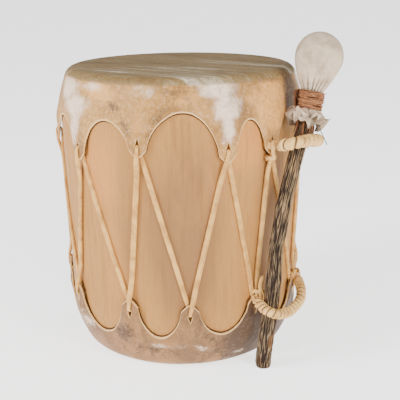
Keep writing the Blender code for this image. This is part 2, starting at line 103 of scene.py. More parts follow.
@dataclass(frozen=True)
class DrumForm:
    """Sizes of the log, its hides and its thong, and the places on them that every piece is set out from."""

    height: float = 0.360
    top_radius: float = 0.1537
    bottom_radius: float = 0.1457
    shoulder_height: float = 0.062
    hide_thickness: float = 0.002
    hide_gap: float = 0.0007
    clearance: float = 0.0004
    tab_half_width: float = 0.0100
    tab_rounding: float = 0.009
    slit_half_width: float = 0.0033
    slit_start: float = 0.69
    slit_end: float = 0.85
    tab_slack: float = 0.0010
    thong_width: float = 0.0058
    thong_thickness: float = 0.0022
    thong_rest: float = 0.0006

    @property
    def tabs(self) -> int:
        """Number of tabs on each hide."""
        return len(TOP.azimuths)

    @property
    def tab_lift(self) -> float:
        """How far a tab stands off the wood to let the thong through."""
        return self.thong_thickness + 2 * self.clearance - self.hide_gap + self.tab_slack

    @property
    def inner_standoff(self) -> float:
        """Distance of an inner strand's middle from the wood."""
        return self.clearance + self.thong_thickness / 2

    @property
    def outer_standoff(self) -> float:
        """Distance of an outer strand's middle from the wood where it enters a slit."""
        over = self.hide_gap + self.tab_lift + self.hide_thickness + self.clearance
        return over + self.thong_thickness / 2 + self.thong_rest

    def face_z(self, end: LogEnd) -> float:
        """Height of the flat outer face of a hide."""
        return self.height if end.sign > 0 else 0.0

    def rim_z(self, end: LogEnd) -> float:
        """Height at which the wood's rounded rim begins."""
        return self.face_z(end) - end.sign * (self.hide_thickness + self.hide_gap + end.rim_height)

    def at(self, end: LogEnd, distance: float) -> float:
        """Height at a distance from one end of the drum."""
        return self.face_z(end) - end.sign * distance

    def wall(self, z: float) -> tuple[float, float]:
        """Radius of the wood and its slope at a height.

        Args:
            z: height above the ground.

        Returns:
            The radius and its change for each metre of height.
        """
        z = min(max(z, self.rim_z(BOTTOM)), self.rim_z(TOP))
        slope = (self.top_radius - self.bottom_radius) / self.height
        radius = self.bottom_radius + slope * z
        for end in (TOP, BOTTOM):
            share = 1 - abs(z - self.rim_z(end)) / self.shoulder_height
            if share > 0:
                radius -= end.shoulder_inset * share ** 2
                slope -= end.sign * 2 * end.shoulder_inset * share / self.shoulder_height
        return radius, slope

    def side_point(self, z: float, offset: float) -> tuple[float, float]:
        """Radius and height of a point at an offset square to the wood.

        Args:
            z: height of the place on the wood.
            offset: distance from the wood.

        Returns:
            The radius and the height of the point.
        """
        radius, slope = self.wall(z)
        square = 1 / math.hypot(1, slope)
        return radius + offset * square, z - offset * slope * square

    def rim_arc(self, end: LogEnd, offset: float, share: float) -> tuple[float, float]:
        """Radius and height of a point on the rounded rim.

        Args:
            end: end of the log.
            offset: distance from the wood.
            share: 0 at the side of the drum and 1 at its flat face.

        Returns:
            The radius and the height of the point.
        """
        radius, slope = self.wall(self.rim_z(end))
        start = math.atan(abs(slope))
        rounding = end.rim_height / (1 - math.sin(start))
        angle = start + (math.pi / 2 - start) * share
        across, up = (rounding + offset) * math.cos(angle), (rounding + offset) * math.sin(angle)
        return (radius - rounding * math.cos(start) + across,
                self.rim_z(end) + end.sign * (up - rounding * math.sin(start)))

    def on_wall(self, azimuth: float, standoff: float, z: float) -> Vector:
        """Point that stands off the wood by a distance."""
        return polar(azimuth, self.wall(z)[0] + standoff, z)

    def slit_z(self, end: LogEnd, k: int) -> float:
        """Height of the end of slit k that the thong pulls on."""
        tip = self.at(end, end.lengths[k])
        return self.rim_z(end) + (tip - self.rim_z(end)) * self.slit_end


FORM = DrumForm()


def polar(azimuth: float, radius: float, z: float) -> Vector:
    """Point at an azimuth, a radius and a height."""
    angle = math.radians(azimuth)
    return Vector((radius * math.sin(angle), -radius * math.cos(angle), z))


def outward(point: Vector) -> Vector:
    """Level direction away from the drum's axis."""
    return Vector((point.x, point.y, 0)).normalized()


def ease(low: float, high: float, value: float) -> float:
    """Smooth step from 0 at the low value to 1 at the high one."""
    t = min(max((value - low) / (high - low), 0.0), 1.0)
    return t * t * (3 - 2 * t)


def fractal(point: Vector, size: float, octaves: int = 3) -> float:
    """Even noise of about -1 to 1 whose largest marks have a given size."""
    return noise.fractal(point / size, 0.9, 2.1, octaves)


def ripple(x: float, y: float, z: float) -> float:
    """Even noise of about -1 to 1 at a place, the same each time."""
    return noise.noise(Vector((x, y, z)))


def lump(x: float, y: float, z: float) -> float:
    """Uneven amount of 0 to about 2 at a place, the same each time."""
    return abs(ripple(x, y, z)) * 2


def smooth_route(points: Sequence[Vector], steps: int) -> Points:
    """Smooth curve through a row of points.

    Args:
        points: the points that it passes through.
        steps: number of steps between each two points.

    Returns:
        The points of the curve.
    """
    padded = [points[0] * 2 - points[1], *points, points[-1] * 2 - points[-2]]
    route = []
    for a, b, c, d in zip(padded, padded[1:], padded[2:], padded[3:]):
        for step in range(steps):
            t = step / steps
            route.append(0.5 * (2 * b + (c - a) * t + (2 * a - 5 * b + 4 * c - d) * t ** 2
                                + (3 * b - a - 3 * c + d) * t ** 3))
    return [*route, points[-1]]


def even_route(points: Sequence[Vector], spacing: float) -> Points:
    """The same line with its points at an even spacing.

    Args:
        points: the line's points.
        spacing: wanted distance between them.

    Returns:
        The evenly spaced points.
    """
    places = np.array(points)
    along = np.concatenate([[0], np.cumsum(np.linalg.norm(np.diff(places, axis=0), axis=1))])
    wanted = np.linspace(0, along[-1], max(int(round(along[-1] / spacing)), 2) + 1)
    return [Vector(p) for p in np.stack([np.interp(wanted, along, places[:, i]) for i in range(3)], axis=1)]


# Meshes


class Skin(NamedTuple):
    """A mesh in the making, with the values that its finish reads at each point."""

    points: Points
    faces: list[Face]
    values: dict[str, list[float]]
    vectors: dict[str, Points]


def piece(name: str, skin: Skin, materials: Sequence[Material]) -> Object:
    """Makes an object of a mesh and links it to the scene.

    Args:
        name: the object's name.
        skin: its points, faces and values.
        materials: its finishes, the main one first.

    Returns:
        The new object.
    """
    mesh = bpy.data.meshes.new(name)
    mesh.from_pydata([tuple(p) for p in skin.points], [], skin.faces)
    mesh.validate()
    for label, values in skin.values.items():
        mesh.attributes.new(label, "FLOAT", "POINT").data.foreach_set("value", values)
    for label, vectors in skin.vectors.items():
        flat = [number for vector in vectors for number in vector]
        mesh.attributes.new(label, "FLOAT_VECTOR", "POINT").data.foreach_set("vector", flat)
    mesh.shade_smooth()
    for material in materials:
        mesh.materials.append(material)
    made = bpy.data.objects.new(name, mesh)
    bpy.context.scene.collection.objects.link(made)
    return made


def ring_faces(rings: int, sides: int, cyclic: bool = False, caps: bool = True) -> list[Face]:
    """Faces of a tube made of rings of points.

    Args:
        rings: number of rings.
        sides: points in each ring.
        cyclic: whether the last ring joins the first.
        caps: whether the ends are closed, where the tube has ends.

    Returns:
        The faces, wound so that a ring that turns left about its way has its faces out.
    """
    faces: list[Face] = []
    for ring in range(rings if cyclic else rings - 1):
        here = ring * sides
        there = (ring + 1) % rings * sides
        for i in range(sides):
            j = (i + 1) % sides
            faces.append((here + i, here + j, there + j, there + i))
    if caps and not cyclic:
        last = (rings - 1) * sides
        faces.append(tuple(reversed(range(sides))))
        faces.append(tuple(range(last, last + sides)))
    return faces


def flipped(faces: Sequence[Face]) -> list[Face]:
    """The same faces, turned the other way round."""
    return [tuple(reversed(face)) for face in faces]


def carried(path: Sequence[Vector], out: Vector) -> list[tuple[Vector, Vector]]:
    """Directions across and out at each point of an open path, carried along it without twist.

    Args:
        path: points of the path.
        out: direction out at its start.

    Returns:
        The direction across and the direction out at each point.
    """
    found: list[tuple[Vector, Vector]] = []
    for i in range(len(path)):
        along = (path[min(i + 1, len(path) - 1)] - path[max(i - 1, 0)]).normalized()
        out = (out - along * out.dot(along)).normalized()
        found.append((along.cross(out), out))
    return found


def thickened(made: Object, thickness: float, offset: float) -> bpy.types.Modifier:
    """Gives a piece of one layer its thickness.

    Args:
        made: the piece.
        thickness: its thickness.
        offset: 1 for a thickness on the outer side, -1 for the inner side and 0 for both.

    Returns:
        The modifier that does it.
    """
    skin = made.modifiers.new("Thickness", "SOLIDIFY")
    skin.thickness = thickness
    skin.offset = offset
    return skin


def joined(skins: Sequence[Skin]) -> Skin:
    """One mesh of several."""
    whole = Skin([], [], {label: [] for label in skins[0].values}, {label: [] for label in skins[0].vectors})
    for skin in skins:
        start = len(whole.points)
        whole.points.extend(skin.points)
        whole.faces.extend(tuple(start + i for i in face) for face in skin.faces)
        for label, values in skin.values.items():
            whole.values[label].extend(values)
        for label, vectors in skin.vectors.items():
            whole.vectors[label].extend(vectors)
    return whole


def bar(path: Sequence[Vector], outs: Sequence[Vector], section: Section, sides: int, cyclic: bool = False,
        shade: float = 0.5) -> Skin:
    """Sweeps a section along a path.

    Args:
        path: middle of the bar.
        outs: direction at each point that the section's second number is measured along.
        section: the section at each point.
        sides: points round the section.
        cyclic: whether the bar is a closed loop.
        shade: tone of this bar among its like, from 0 to 1.

    Returns:
        The bar, with its tone, its depth and its straightened coordinates.
    """
    points: Points = []
    depth: list[float] = []
    straight: Points = []
    length = 0.0
    count = len(path)
    for i, middle in enumerate(path):
        before = path[i - 1] if i or cyclic else path[0]
        after = path[(i + 1) % count] if i < count - 1 or cyclic else path[-1]
        along = (after - before).normalized()
        out = (outs[i] - along * outs[i].dot(along)).normalized()
        across = along.cross(out)
        if i:
            length += (middle - path[i - 1]).length
        for j in range(sides):
            x, y, level = section(i, math.tau * j / sides)
            points.append(middle + across * x + out * y)
            depth.append(level)
            straight.append(Vector((x, y, length)))
    faces = ring_faces(count, sides, cyclic)
    return Skin(points, faces, {"depth": depth, "tone": [shade] * len(points)}, {"straight": straight})


def round_section(radii: Sequence[float]) -> Section:
    """Section of a plain round bar with a radius at each point."""
    return lambda i, angle: (radii[i] * math.cos(angle), radii[i] * math.sin(angle), 1.0)


def thong_section(widths: Sequence[float], thick: Sequence[float], groove: float,
                  rolls: Sequence[float]) -> Section:
    """Section of a cut thong: flat, with soft corners and a crease along its outer side.

    Args:
        widths: width at each point.
        thick: its thickness at each point.
        groove: depth of the crease.
        rolls: how far the thong leans to a side at each point, in radians.

    Returns:
        The section.
    """
    def section(i: int, angle: float) -> Triple:
        """Offsets across and out, and how little the place is sunk, from 0 to 1."""
        c, s = math.cos(angle), math.sin(angle)
        x = widths[i] / 2 * math.copysign(abs(c) ** 0.55, c)
        y = thick[i] / 2 * math.copysign(abs(s) ** 0.75, s)
        sunk = math.exp(-((x / widths[i] - 0.10) / 0.10) ** 2) if s > 0 else 0.0
        y -= groove * sunk
        roll = rolls[i]
        # Painted shade in the crease: the finish darkens the thong where this level is low.
        level = 1 - 0.45 * sunk * min(groove / DEEP_CREASE, 1)
        return x * math.cos(roll) - y * math.sin(roll), x * math.sin(roll) + y * math.cos(roll), level

    return section


# Finishes


def tone(red: float, green: float, blue: float) -> tuple[float, float, float, float]:
    """Colour as the shader wants it, from one as the eye sees it."""
    def linear(value: float) -> float:
        """Linear strength of one colour channel."""
        value /= 255
        return value / 12.92 if value <= 0.04045 else ((value + 0.055) / 1.055) ** 2.4

    return linear(red), linear(green), linear(blue), 1.0


class Recipe:
    """Node tree of one finish, built step by step from sockets."""

    def __init__(self, name: str, roughness: float, specular: float) -> None:
        """Starts a finish.

        Args:
            name: the material's name.
            roughness: its roughness where nothing varies it.
            specular: its specular level.
        """
        self.material = bpy.data.materials.new(name)
        self.material.use_nodes = True
        self.tree = self.material.node_tree
        self.shader = self.tree.nodes["Principled BSDF"]
        self.shader.inputs["Roughness"].default_value = roughness
        self.shader.inputs["Specular IOR Level"].default_value = specular

    def add(self, kind: str, inputs: dict[str | int, object], **settings: object) -> bpy.types.Node:
        """Adds a node.

        Args:
            kind: the node's type.
            inputs: a value or a socket for each named or numbered input.
            **settings: properties of the node.

        Returns:
            The node.
        """
        node = self.tree.nodes.new(kind)
        for label, value in settings.items():
            setattr(node, label, value)
        for label, value in inputs.items():
            if isinstance(value, Socket):
                self.tree.links.new(value, node.inputs[label])
            else:
                node.inputs[label].default_value = value
        return node

    def place(self) -> Socket:
        """The point on the object, in metres."""
        return self.add("ShaderNodeTexCoord", {}).outputs["Object"]

    def value(self, label: str) -> Socket:
        """A number that the mesh holds at each point."""
        return self.add("ShaderNodeAttribute", {}, attribute_name=label).outputs["Fac"]

    def vector(self, label: str) -> Socket:
        """A vector that the mesh holds at each point."""
        return self.add("ShaderNodeAttribute", {}, attribute_name=label).outputs["Vector"]

    def stretch(self, source: Socket, scale: Triple, turn: float = 0.0) -> Socket:
        """Coordinates scaled along each axis, after a turn about Z in degrees."""
        turned = self.add("ShaderNodeMapping", {"Vector": source, "Rotation": (0, 0, math.radians(turn))})
        return self.add("ShaderNodeMapping", {"Vector": turned.outputs[0], "Scale": scale}).outputs[0]

    def clouds(self, source: Socket, scale: float, detail: float, rough: float, twist: float = 0.0) -> Socket:
        """Noise of 0 to 1."""
        inputs = {"Vector": source, "Scale": scale, "Detail": detail, "Roughness": rough, "Distortion": twist}
        return self.add("ShaderNodeTexNoise", inputs).outputs[0]

    def streaks(self, source: Socket, scale: Triple, detail: float,
                rough: float, twist: float = 0.0, turn: float = 0.0) -> Socket:
        """Noise of 0 to 1 at its own scale along each axis, after a turn about Z in degrees."""
        return self.clouds(self.stretch(source, scale, turn), 1.0, detail, rough, twist)

    def cells(self, source: Socket, scale: Triple) -> Socket:
        """Distance to the nearest of many scattered points."""
        inputs = {"Vector": self.stretch(source, scale), "Scale": 1.0}
        return self.add("ShaderNodeTexVoronoi", inputs).outputs["Distance"]

    def span(self, source: Socket, low: float, high: float, to_low: float = 0.0,
             to_high: float = 1.0) -> Socket:
        """A number mapped smoothly from one span to another."""
        inputs = {"Value": source, "From Min": low, "From Max": high, "To Min": to_low, "To Max": to_high}
        return self.add("ShaderNodeMapRange", inputs, interpolation_type="SMOOTHSTEP").outputs[0]

    def calc(self, operation: str, first: object, second: object) -> Socket:
        """Result of a sum on two numbers."""
        return self.add("ShaderNodeMath", {0: first, 1: second}, operation=operation).outputs[0]

    def swing(self, source: Socket, amount: float) -> Socket:
        """A number of 0 to 1 made into one about 0 and scaled."""
        return self.calc("MULTIPLY", self.calc("SUBTRACT", source, 0.5), amount)

    def ramp(self, source: Socket, stops: Sequence[tuple[float, Colour]]) -> Socket:
        """Colour that changes along a number.

        Args:
            source: the number, from 0 to 1.
            stops: place and colour of each stop.

        Returns:
            The colour.
        """
        node = self.add("ShaderNodeValToRGB", {"Fac": source})
        elements = node.color_ramp.elements
        while len(elements) < len(stops):
            elements.new(0.5)
        for element, (position, colour) in zip(elements, stops):
            element.position = position
            element.color = tone(*colour)
        return node.outputs["Color"]

    def mix(self, share: object, first: object, second: object) -> Socket:
        """Colour between two, each a socket or a colour as the eye sees it.

        Args:
            share: how much of the second there is.
            first: the colour below.
            second: the colour laid over it.

        Returns:
            The mixed colour.
        """
        node = self.tree.nodes.new("ShaderNodeMix")
        node.data_type = "RGBA"
        for label, value in ((0, share), (6, first), (7, second)):
            if isinstance(value, Socket):
                self.tree.links.new(value, node.inputs[label])
            else:
                node.inputs[label].default_value = tone(*value) if isinstance(value, tuple) else value
        return node.outputs[2]

    def over(self, below: object, colour: object, source: Socket, low: float, high: float,
             most: float) -> Socket:
        """Lays a colour over another: none where a number is low and the most where it is high."""
        return self.mix(self.span(source, low, high, 0, most), below, colour)

    def bump(self, height: Socket, depth: float, strength: float, below: Socket | None = None) -> Socket:
        """Normal of a relief.

        Args:
            height: the relief, from 0 to 1.
            depth: its depth in metres.
            strength: how much of it shows.
            below: a coarser relief that it lies on.

        Returns:
            The normal.
        """
        inputs: dict[str | int, object] = {"Height": height, "Distance": depth, "Strength": strength}
        if below is not None:
            inputs["Normal"] = below
        return self.add("ShaderNodeBump", inputs).outputs[0]

    def finish(self, colour: Socket, normal: Socket, roughness: Socket | None = None) -> Material:
        """Links the shader.

        Args:
            colour: the base colour.
            normal: the relief's normal.
            roughness: the roughness, where it varies.

        Returns:
            The finished material.
        """
        self.tree.links.new(colour, self.shader.inputs["Base Color"])
        self.tree.links.new(normal, self.shader.inputs["Normal"])
        if roughness is not None:
            self.tree.links.new(roughness, self.shader.inputs["Roughness"])
        return self.material


@dataclass(frozen=True)
class LogWood:
    """Smooth bare wood with a fine upright grain, blushing orange and brown from place to place; the brown
    beside the beater's stick is its shadow, painted on.
    """

    light: Colour = (180, 128, 64)
    blush: Colour = (202, 136, 66)
    dark_stain_and_shadow: Colour = (140, 99, 57)
    vein: Colour = (118, 76, 42)
    roughness: float = 0.62

    def make(self) -> Material:
        """Builds the material."""
        r = Recipe("log_wood", self.roughness, 0.28)
        place = r.place()
        broad = r.streaks(place, (9, 9, 3.2), 3.0, 0.5, 0.4)
        grain = r.streaks(place, (150, 150, 9), 5.0, 0.62, 0.5)
        fibre = r.streaks(place, (900, 900, 30), 3.0, 0.6)
        blotch = r.streaks(place, (26, 26, 14), 4.0, 0.6, 0.8)
        grit = r.clouds(place, 420.0, 4.0, 0.75)
        shift = r.swing(broad, 1.2)
        warm = r.span(r.calc("ADD", r.value("warm"), shift), 0.10, 0.90, 0, 0.95)
        # Darker brown where the patches lie; beside the beater's stick this is painted shadow.
        dark_stain_and_shadow = r.span(r.calc("ADD", r.value("stain"), shift), 0.10, 0.90, 0, 0.95)
        colour = r.mix(warm, self.light, self.blush)
        colour = r.mix(dark_stain_and_shadow, colour, self.dark_stain_and_shadow)
        colour = r.over(colour, self.blush, blotch, 0.52, 0.78, 0.35)
        colour = r.over(colour, self.vein, grain, 0.50, 0.78, 0.42)
        colour = r.over(colour, self.vein, fibre, 0.35, 0.75, 0.22)
        colour = r.over(colour, self.vein, grit, 0.48, 0.72, 0.26)
        fleck = r.cells(place, (60, 60, 18))
        colour = r.over(colour, self.vein, fleck, 0.06, 0.02, 0.5)
        relief = r.bump(grain, 0.0006, 0.35)
        relief = r.bump(fibre, 0.0003, 0.30, relief)
        return r.finish(colour, relief, r.span(grain, 0.3, 0.8, 0.55, 0.72))


@dataclass(frozen=True)
class Rawhide:
    """Dried hide: mottled cream on the sides, and olive with grey and pale streaks over the face."""

    name: str
    cream: Colour = (186, 137, 70)
    honey: Colour = (150, 104, 47)
    pale: Colour = (240, 212, 186)
    warm: Colour = (226, 162, 86)
    stain: Colour = (98, 72, 44)
    # Pale colour of the highlight painted along the cut edge and on the lips of the slits.
    edge_highlight: Colour = (232, 190, 130)
    face_dark: Colour = (104, 80, 44)
    face_mid: Colour = (138, 111, 67)
    face_grey: Colour = (164, 146, 112)
    face_pale: Colour = (212, 198, 172)
    streak_turn: float = 33.0
    grain: float = 1.0
    roughness: float = 0.56

    def make(self) -> Material:
        """Builds the material."""
        r = Recipe(self.name, self.roughness, 0.32)
        place = r.place()
        broad = r.clouds(place, 14.0, 4.0, 0.6, 0.6)
        mottle = r.clouds(place, 70.0, 6.0, 0.72, 0.5)
        speck = r.clouds(place, 300.0, 5.0, 0.80)
        pores = r.cells(place, (260, 260, 200))
        rub = r.streaks(place, (46, 46, 10), 5.0, 0.65, 0.7)
        ragged = r.calc("ADD", r.swing(mottle, 1.5), r.swing(speck, 0.9))
        colour = r.mix(r.span(broad, 0.38, 0.66), self.cream, self.honey)
        colour = r.over(colour, self.honey, mottle, 0.46, 0.70, 0.60)
        colour = r.mix(self.torn(r, "warm", ragged, 0.85), colour, self.warm)
        # Darker patches; under the beater's head on the upper hide this is painted shadow.
        colour = r.mix(self.torn(r, "stain", ragged, 0.85), colour, self.stain)
        colour = r.mix(self.torn(r, "pale", ragged, 0.96), colour, self.pale)
        face = r.value("face")
        colour = r.mix(face, colour, self.face(r, place, speck))
        colour = r.over(colour, self.stain, rub, 0.52, 0.66, 0.38)
        colour = r.over(colour, self.stain, speck, 0.50, 0.66, 0.44 * self.grain)
        light = r.span(speck, 0.48, 0.34, 0.0, 0.26 * self.grain)
        quiet = r.calc("MULTIPLY", light, r.span(face, 0.0, 1.0, 1.0, 0.2))
        colour = r.mix(quiet, colour, self.pale)
        colour = r.over(colour, self.stain, pores, 0.20, 0.05, 0.35)
        # Painted highlight: a pale line along the cut edge and on the lips of the slits.
        colour = r.over(colour, self.edge_highlight, r.value("edge"), 0.35, 0.75, 0.80)
        relief = r.bump(mottle, 0.0012, 0.50)
        relief = r.bump(speck, 0.0004, 0.55, relief)
        return r.finish(colour, relief, r.span(mottle, 0.3, 0.8, 0.48, 0.66))

    def torn(self, r: Recipe, label: str, ragged: Socket, most: float) -> Socket:
        """Share of one mark, with its edge broken up by the grain of the hide.

        Args:
            r: the finish in the making.
            label: the mark's name on the mesh.
            ragged: grain about 0 that breaks the edge.
            most: share where the mark is full.

        Returns:
            The share.
        """
        mark = r.value(label)
        broken = r.calc("ADD", mark, r.calc("MULTIPLY", ragged, r.span(mark, 0.0, 0.25, 0.0, 1.0)))
        return r.span(broken, 0.30, 0.85, 0, most)

    def face(self, r: Recipe, place: Socket, speck: Socket) -> Socket:
        """Colour of the flat face: olive, with long crisp pale streaks that run one way.

        Args:
            r: the finish in the making.
            place: the point on the object.
            speck: fine grain.

        Returns:
            The colour.
        """
        broad = r.streaks(place, (5, 13, 1), 3.0, 0.5, 0.5, self.streak_turn)
        streak = r.streaks(place, (3.2, 34, 1), 5.0, 0.58, 0.5, self.streak_turn)
        fine = r.streaks(place, (26, 200, 1), 4.0, 0.65, turn=self.streak_turn)
        colour = r.ramp(streak, ((0.36, self.face_dark), (0.47, self.face_mid), (0.56, self.face_mid),
                                 (0.59, self.face_grey), (0.66, self.face_pale)))
        colour = r.over(colour, self.face_mid, broad, 0.48, 0.60, 0.50)
        colour = r.over(colour, self.face_grey, fine, 0.52, 0.64, 0.45)
        return r.over(colour, self.face_dark, speck, 0.48, 0.66, 0.45)


@dataclass(frozen=True)
class CutHide:
    """Freshly cut edge of the hide, a bright cream, or, dark brown, the shadow under that edge painted on the
    wood as a thin strip.
    """

    name: str = "cut_hide"
    light: Colour = (244, 204, 138)
    deep: Colour = (196, 146, 86)

    def make(self) -> Material:
        """Builds the material."""
        r = Recipe(self.name, 0.7, 0.2)
        marks = r.clouds(r.place(), 420.0, 4.0, 0.6)
        colour = r.mix(r.span(marks, 0.35, 0.70), self.light, self.deep)
        return r.finish(colour, r.bump(marks, 0.0004, 0.5))


@dataclass(frozen=True)
class ThongHide:
    """Cut rawhide strip, creased along its length, with painted shade darkening its folds and creases."""

    name: str
    light: Colour = (228, 176, 100)
    deep: Colour = (186, 134, 70)
    shaded_fold: Colour = (88, 56, 30)
    roughness: float = 0.66

    def make(self) -> Material:
        """Builds the material."""
        r = Recipe(self.name, self.roughness, 0.25)
        along = r.vector("straight")
        place = r.place()
        line = r.streaks(along, (700, 700, 40), 4.0, 0.6, 0.3)
        patch = r.clouds(place, 70.0, 4.0, 0.6, 0.4)
        grit = r.clouds(place, 900.0, 2.0, 0.6)
        colour = r.mix(r.span(patch, 0.35, 0.70), self.light, self.deep)
        colour = r.over(colour, self.deep, r.value("tone"), 0, 1, 0.30)
        colour = r.over(colour, self.deep, line, 0.50, 0.78, 0.45)
        # Painted shade: darker where the depth value is low, in the thong's creases and between the turns of
        # a wrap.
        colour = r.over(colour, self.shaded_fold, r.value("depth"), 0.82, 0.45, 0.85)
        colour = r.over(colour, self.shaded_fold, grit, 0.3, 0.8, 0.14)
        relief = r.bump(line, 0.0006, 0.55)
        return r.finish(colour, r.bump(grit, 0.0002, 0.4, relief))


@dataclass(frozen=True)
class Bark:
    """Rough bark in long ridges, grey or tan on its crests and dark in its furrows, partly its own colour and
    partly painted shade.
    """

    furrow: Colour = (40, 30, 24)
    flank: Colour = (98, 82, 64)
    crest: Colour = (140, 116, 84)
    bare: Colour = (192, 150, 98)
    rust: Colour = (150, 92, 44)

    def make(self) -> Material:
        """Builds the material."""
        r = Recipe("bark", 0.9, 0.15)
        straight = r.vector("straight")
        thread = r.streaks(straight, (620, 620, 34), 5.0, 0.68, 0.6)
        patch = r.streaks(straight, (90, 90, 16), 4.0, 0.6, 0.5)
        grit = r.streaks(straight, (1500, 1500, 400), 3.0, 0.7)
        depth = r.calc("ADD", r.value("depth"), r.swing(thread, 0.85))
        # Colour by height: the darkening in the furrows is partly the bark's own colour and partly painted
        # shade.
        colour = r.ramp(depth, ((0.26, self.furrow), (0.48, self.flank),
                                (0.70, self.crest), (0.96, self.bare)))
        colour = r.over(colour, self.rust, patch, 0.58, 0.74, 0.55)
        colour = r.over(colour, self.furrow, patch, 0.42, 0.30, 0.22)
        colour = r.mix(r.value("bare"), colour, self.bare)
        colour = r.over(colour, self.furrow, grit, 0.35, 0.75, 0.30)
        relief = r.bump(thread, 0.0016, 0.8)
        return r.finish(colour, r.bump(grit, 0.0003, 0.6, relief))


@dataclass(frozen=True)
class SoftLeather:
    """Soft off-white leather with a fine nap, with painted shade greying its creases."""

    light: Colour = (206, 184, 158)
    shade: Colour = (166, 143, 119)
    crease: Colour = (84, 64, 46)

    def make(self) -> Material:
        """Builds the material."""
        r = Recipe("soft_leather", 0.82, 0.15)
        place = r.place()
        patch = r.clouds(place, 55.0, 4.0, 0.6, 0.4)
        nap = r.clouds(place, 1100.0, 3.0, 0.65)
        colour = r.mix(r.span(patch, 0.35, 0.72), self.light, self.shade)
        # Painted shade in the creases, from the depth value.
        colour = r.over(colour, self.crease, r.value("depth"), 0.9, 0.2, 0.85)
        colour = r.over(colour, self.shade, nap, 0.3, 0.8, 0.16)
        relief = r.bump(patch, 0.0010, 0.30)
        return r.finish(colour, r.bump(nap, 0.0002, 0.5, relief))


@dataclass(frozen=True)
class BarkTwine:
    """Coarse red-brown twine of twisted fibres."""

    light: Colour = (184, 130, 88)
    deep: Colour = (122, 76, 50)
    dark: Colour = (54, 32, 24)

    def make(self) -> Material:
        """Builds the material."""
        r = Recipe("bark_twine", 0.9, 0.15)
        strand = r.streaks(r.vector("straight"), (1600, 1600, 160), 4.0, 0.7, 0.6)
        colour = r.ramp(strand, ((0.30, self.dark), (0.48, self.deep), (0.68, self.light)))
        # Tone of each piece; the sleeve's very low tone is painted shade under the strands.
        shade = r.value("tone")
        colour = r.over(colour, self.light, shade, 0.2, 1.0, 0.55)
        colour = r.over(colour, self.dark, shade, 0.3, 0.0, 0.80)
        return r.finish(colour, r.bump(strand, 0.0006, 0.8))


@dataclass(frozen=True)
class GreyThread:
    """Dark grey sewing thread."""

    light: Colour = (128, 118, 112)
    dark: Colour = (70, 62, 60)

    def make(self) -> Material:
        """Builds the material."""
        r = Recipe("grey_thread", 0.9, 0.15)
        ply = r.streaks(r.vector("straight"), (2500, 2500, 1400), 2.0, 0.5)
        return r.finish(r.mix(r.span(ply, 0.3, 0.7), self.dark, self.light), r.bump(ply, 0.0002, 0.6))


# Log and hides


def dress(made: Object, slot: str, *nodes: str) -> Object:
    """Lets a piece ride on the drum and stand for its solids.

    Args:
        made: the piece.
        slot: not used; the name of the record's material slot for the piece.
        *nodes: the solids that it replaces.

    Returns:
        The same piece.
    """
    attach(made, "root")
    if nodes:
        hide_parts(*nodes)
    return made


class Mark(Enum):
    """What a patch does to the colour of the wood or hide that it is on."""

    PALE = "pale"
    WARM = "warm"
    # Darker patches: stains, and the shadows of the beater's stick and head painted on.
    STAIN_AND_SHADE = "stain"


class Patch(NamedTuple):
    """A soft-edged patch on the wood or on a hide: its middle, half sizes, lean and strength.

    Attributes:
        mark: what it does to the colour.
        azimuth: middle of the patch round the drum.
        z: height of its middle.
        half_azimuth: half its width, in degrees.
        half_height: half its height.
        lean: how far it shifts round the drum over its half height, in degrees.
        strength: how strong it is.
    """

    mark: Mark
    azimuth: float
    z: float
    half_azimuth: float
    half_height: float
    lean: float
    strength: float

    def at(self, azimuth: float, z: float) -> float:
        """Strength of the patch at an azimuth and a height."""
        up = (z - self.z) / self.half_height
        round_way = (azimuth - self.azimuth + 180) % 360 - 180
        side = (round_way - self.lean * up) / self.half_azimuth
        return self.strength * (1 - ease(0.10, 1.60, math.hypot(side, up)))


def marks(patches: Sequence[Patch], points: Sequence[Vector]) -> dict[str, list[float]]:
    """Strength of each kind of mark at each point.

    Args:
        patches: the patches.
        points: the points.

    Returns:
        The strengths by name.
    """
    found: dict[str, list[float]] = {mark.value: [] for mark in Mark}
    for point in points:
        azimuth = math.degrees(math.atan2(point.x, -point.y))
        for mark in Mark:
            strengths = (patch.at(azimuth, point.z) for patch in patches if patch.mark is mark)
            found[mark.value].append(max(strengths, default=0.0))
    return found


def patches_of(**rows: Sequence[tuple[float, ...]]) -> tuple[Patch, ...]:
    """Patches of each kind of mark, from the rows of their numbers."""
    return tuple(Patch(Mark(kind), *row) for kind, found in rows.items() for row in found)


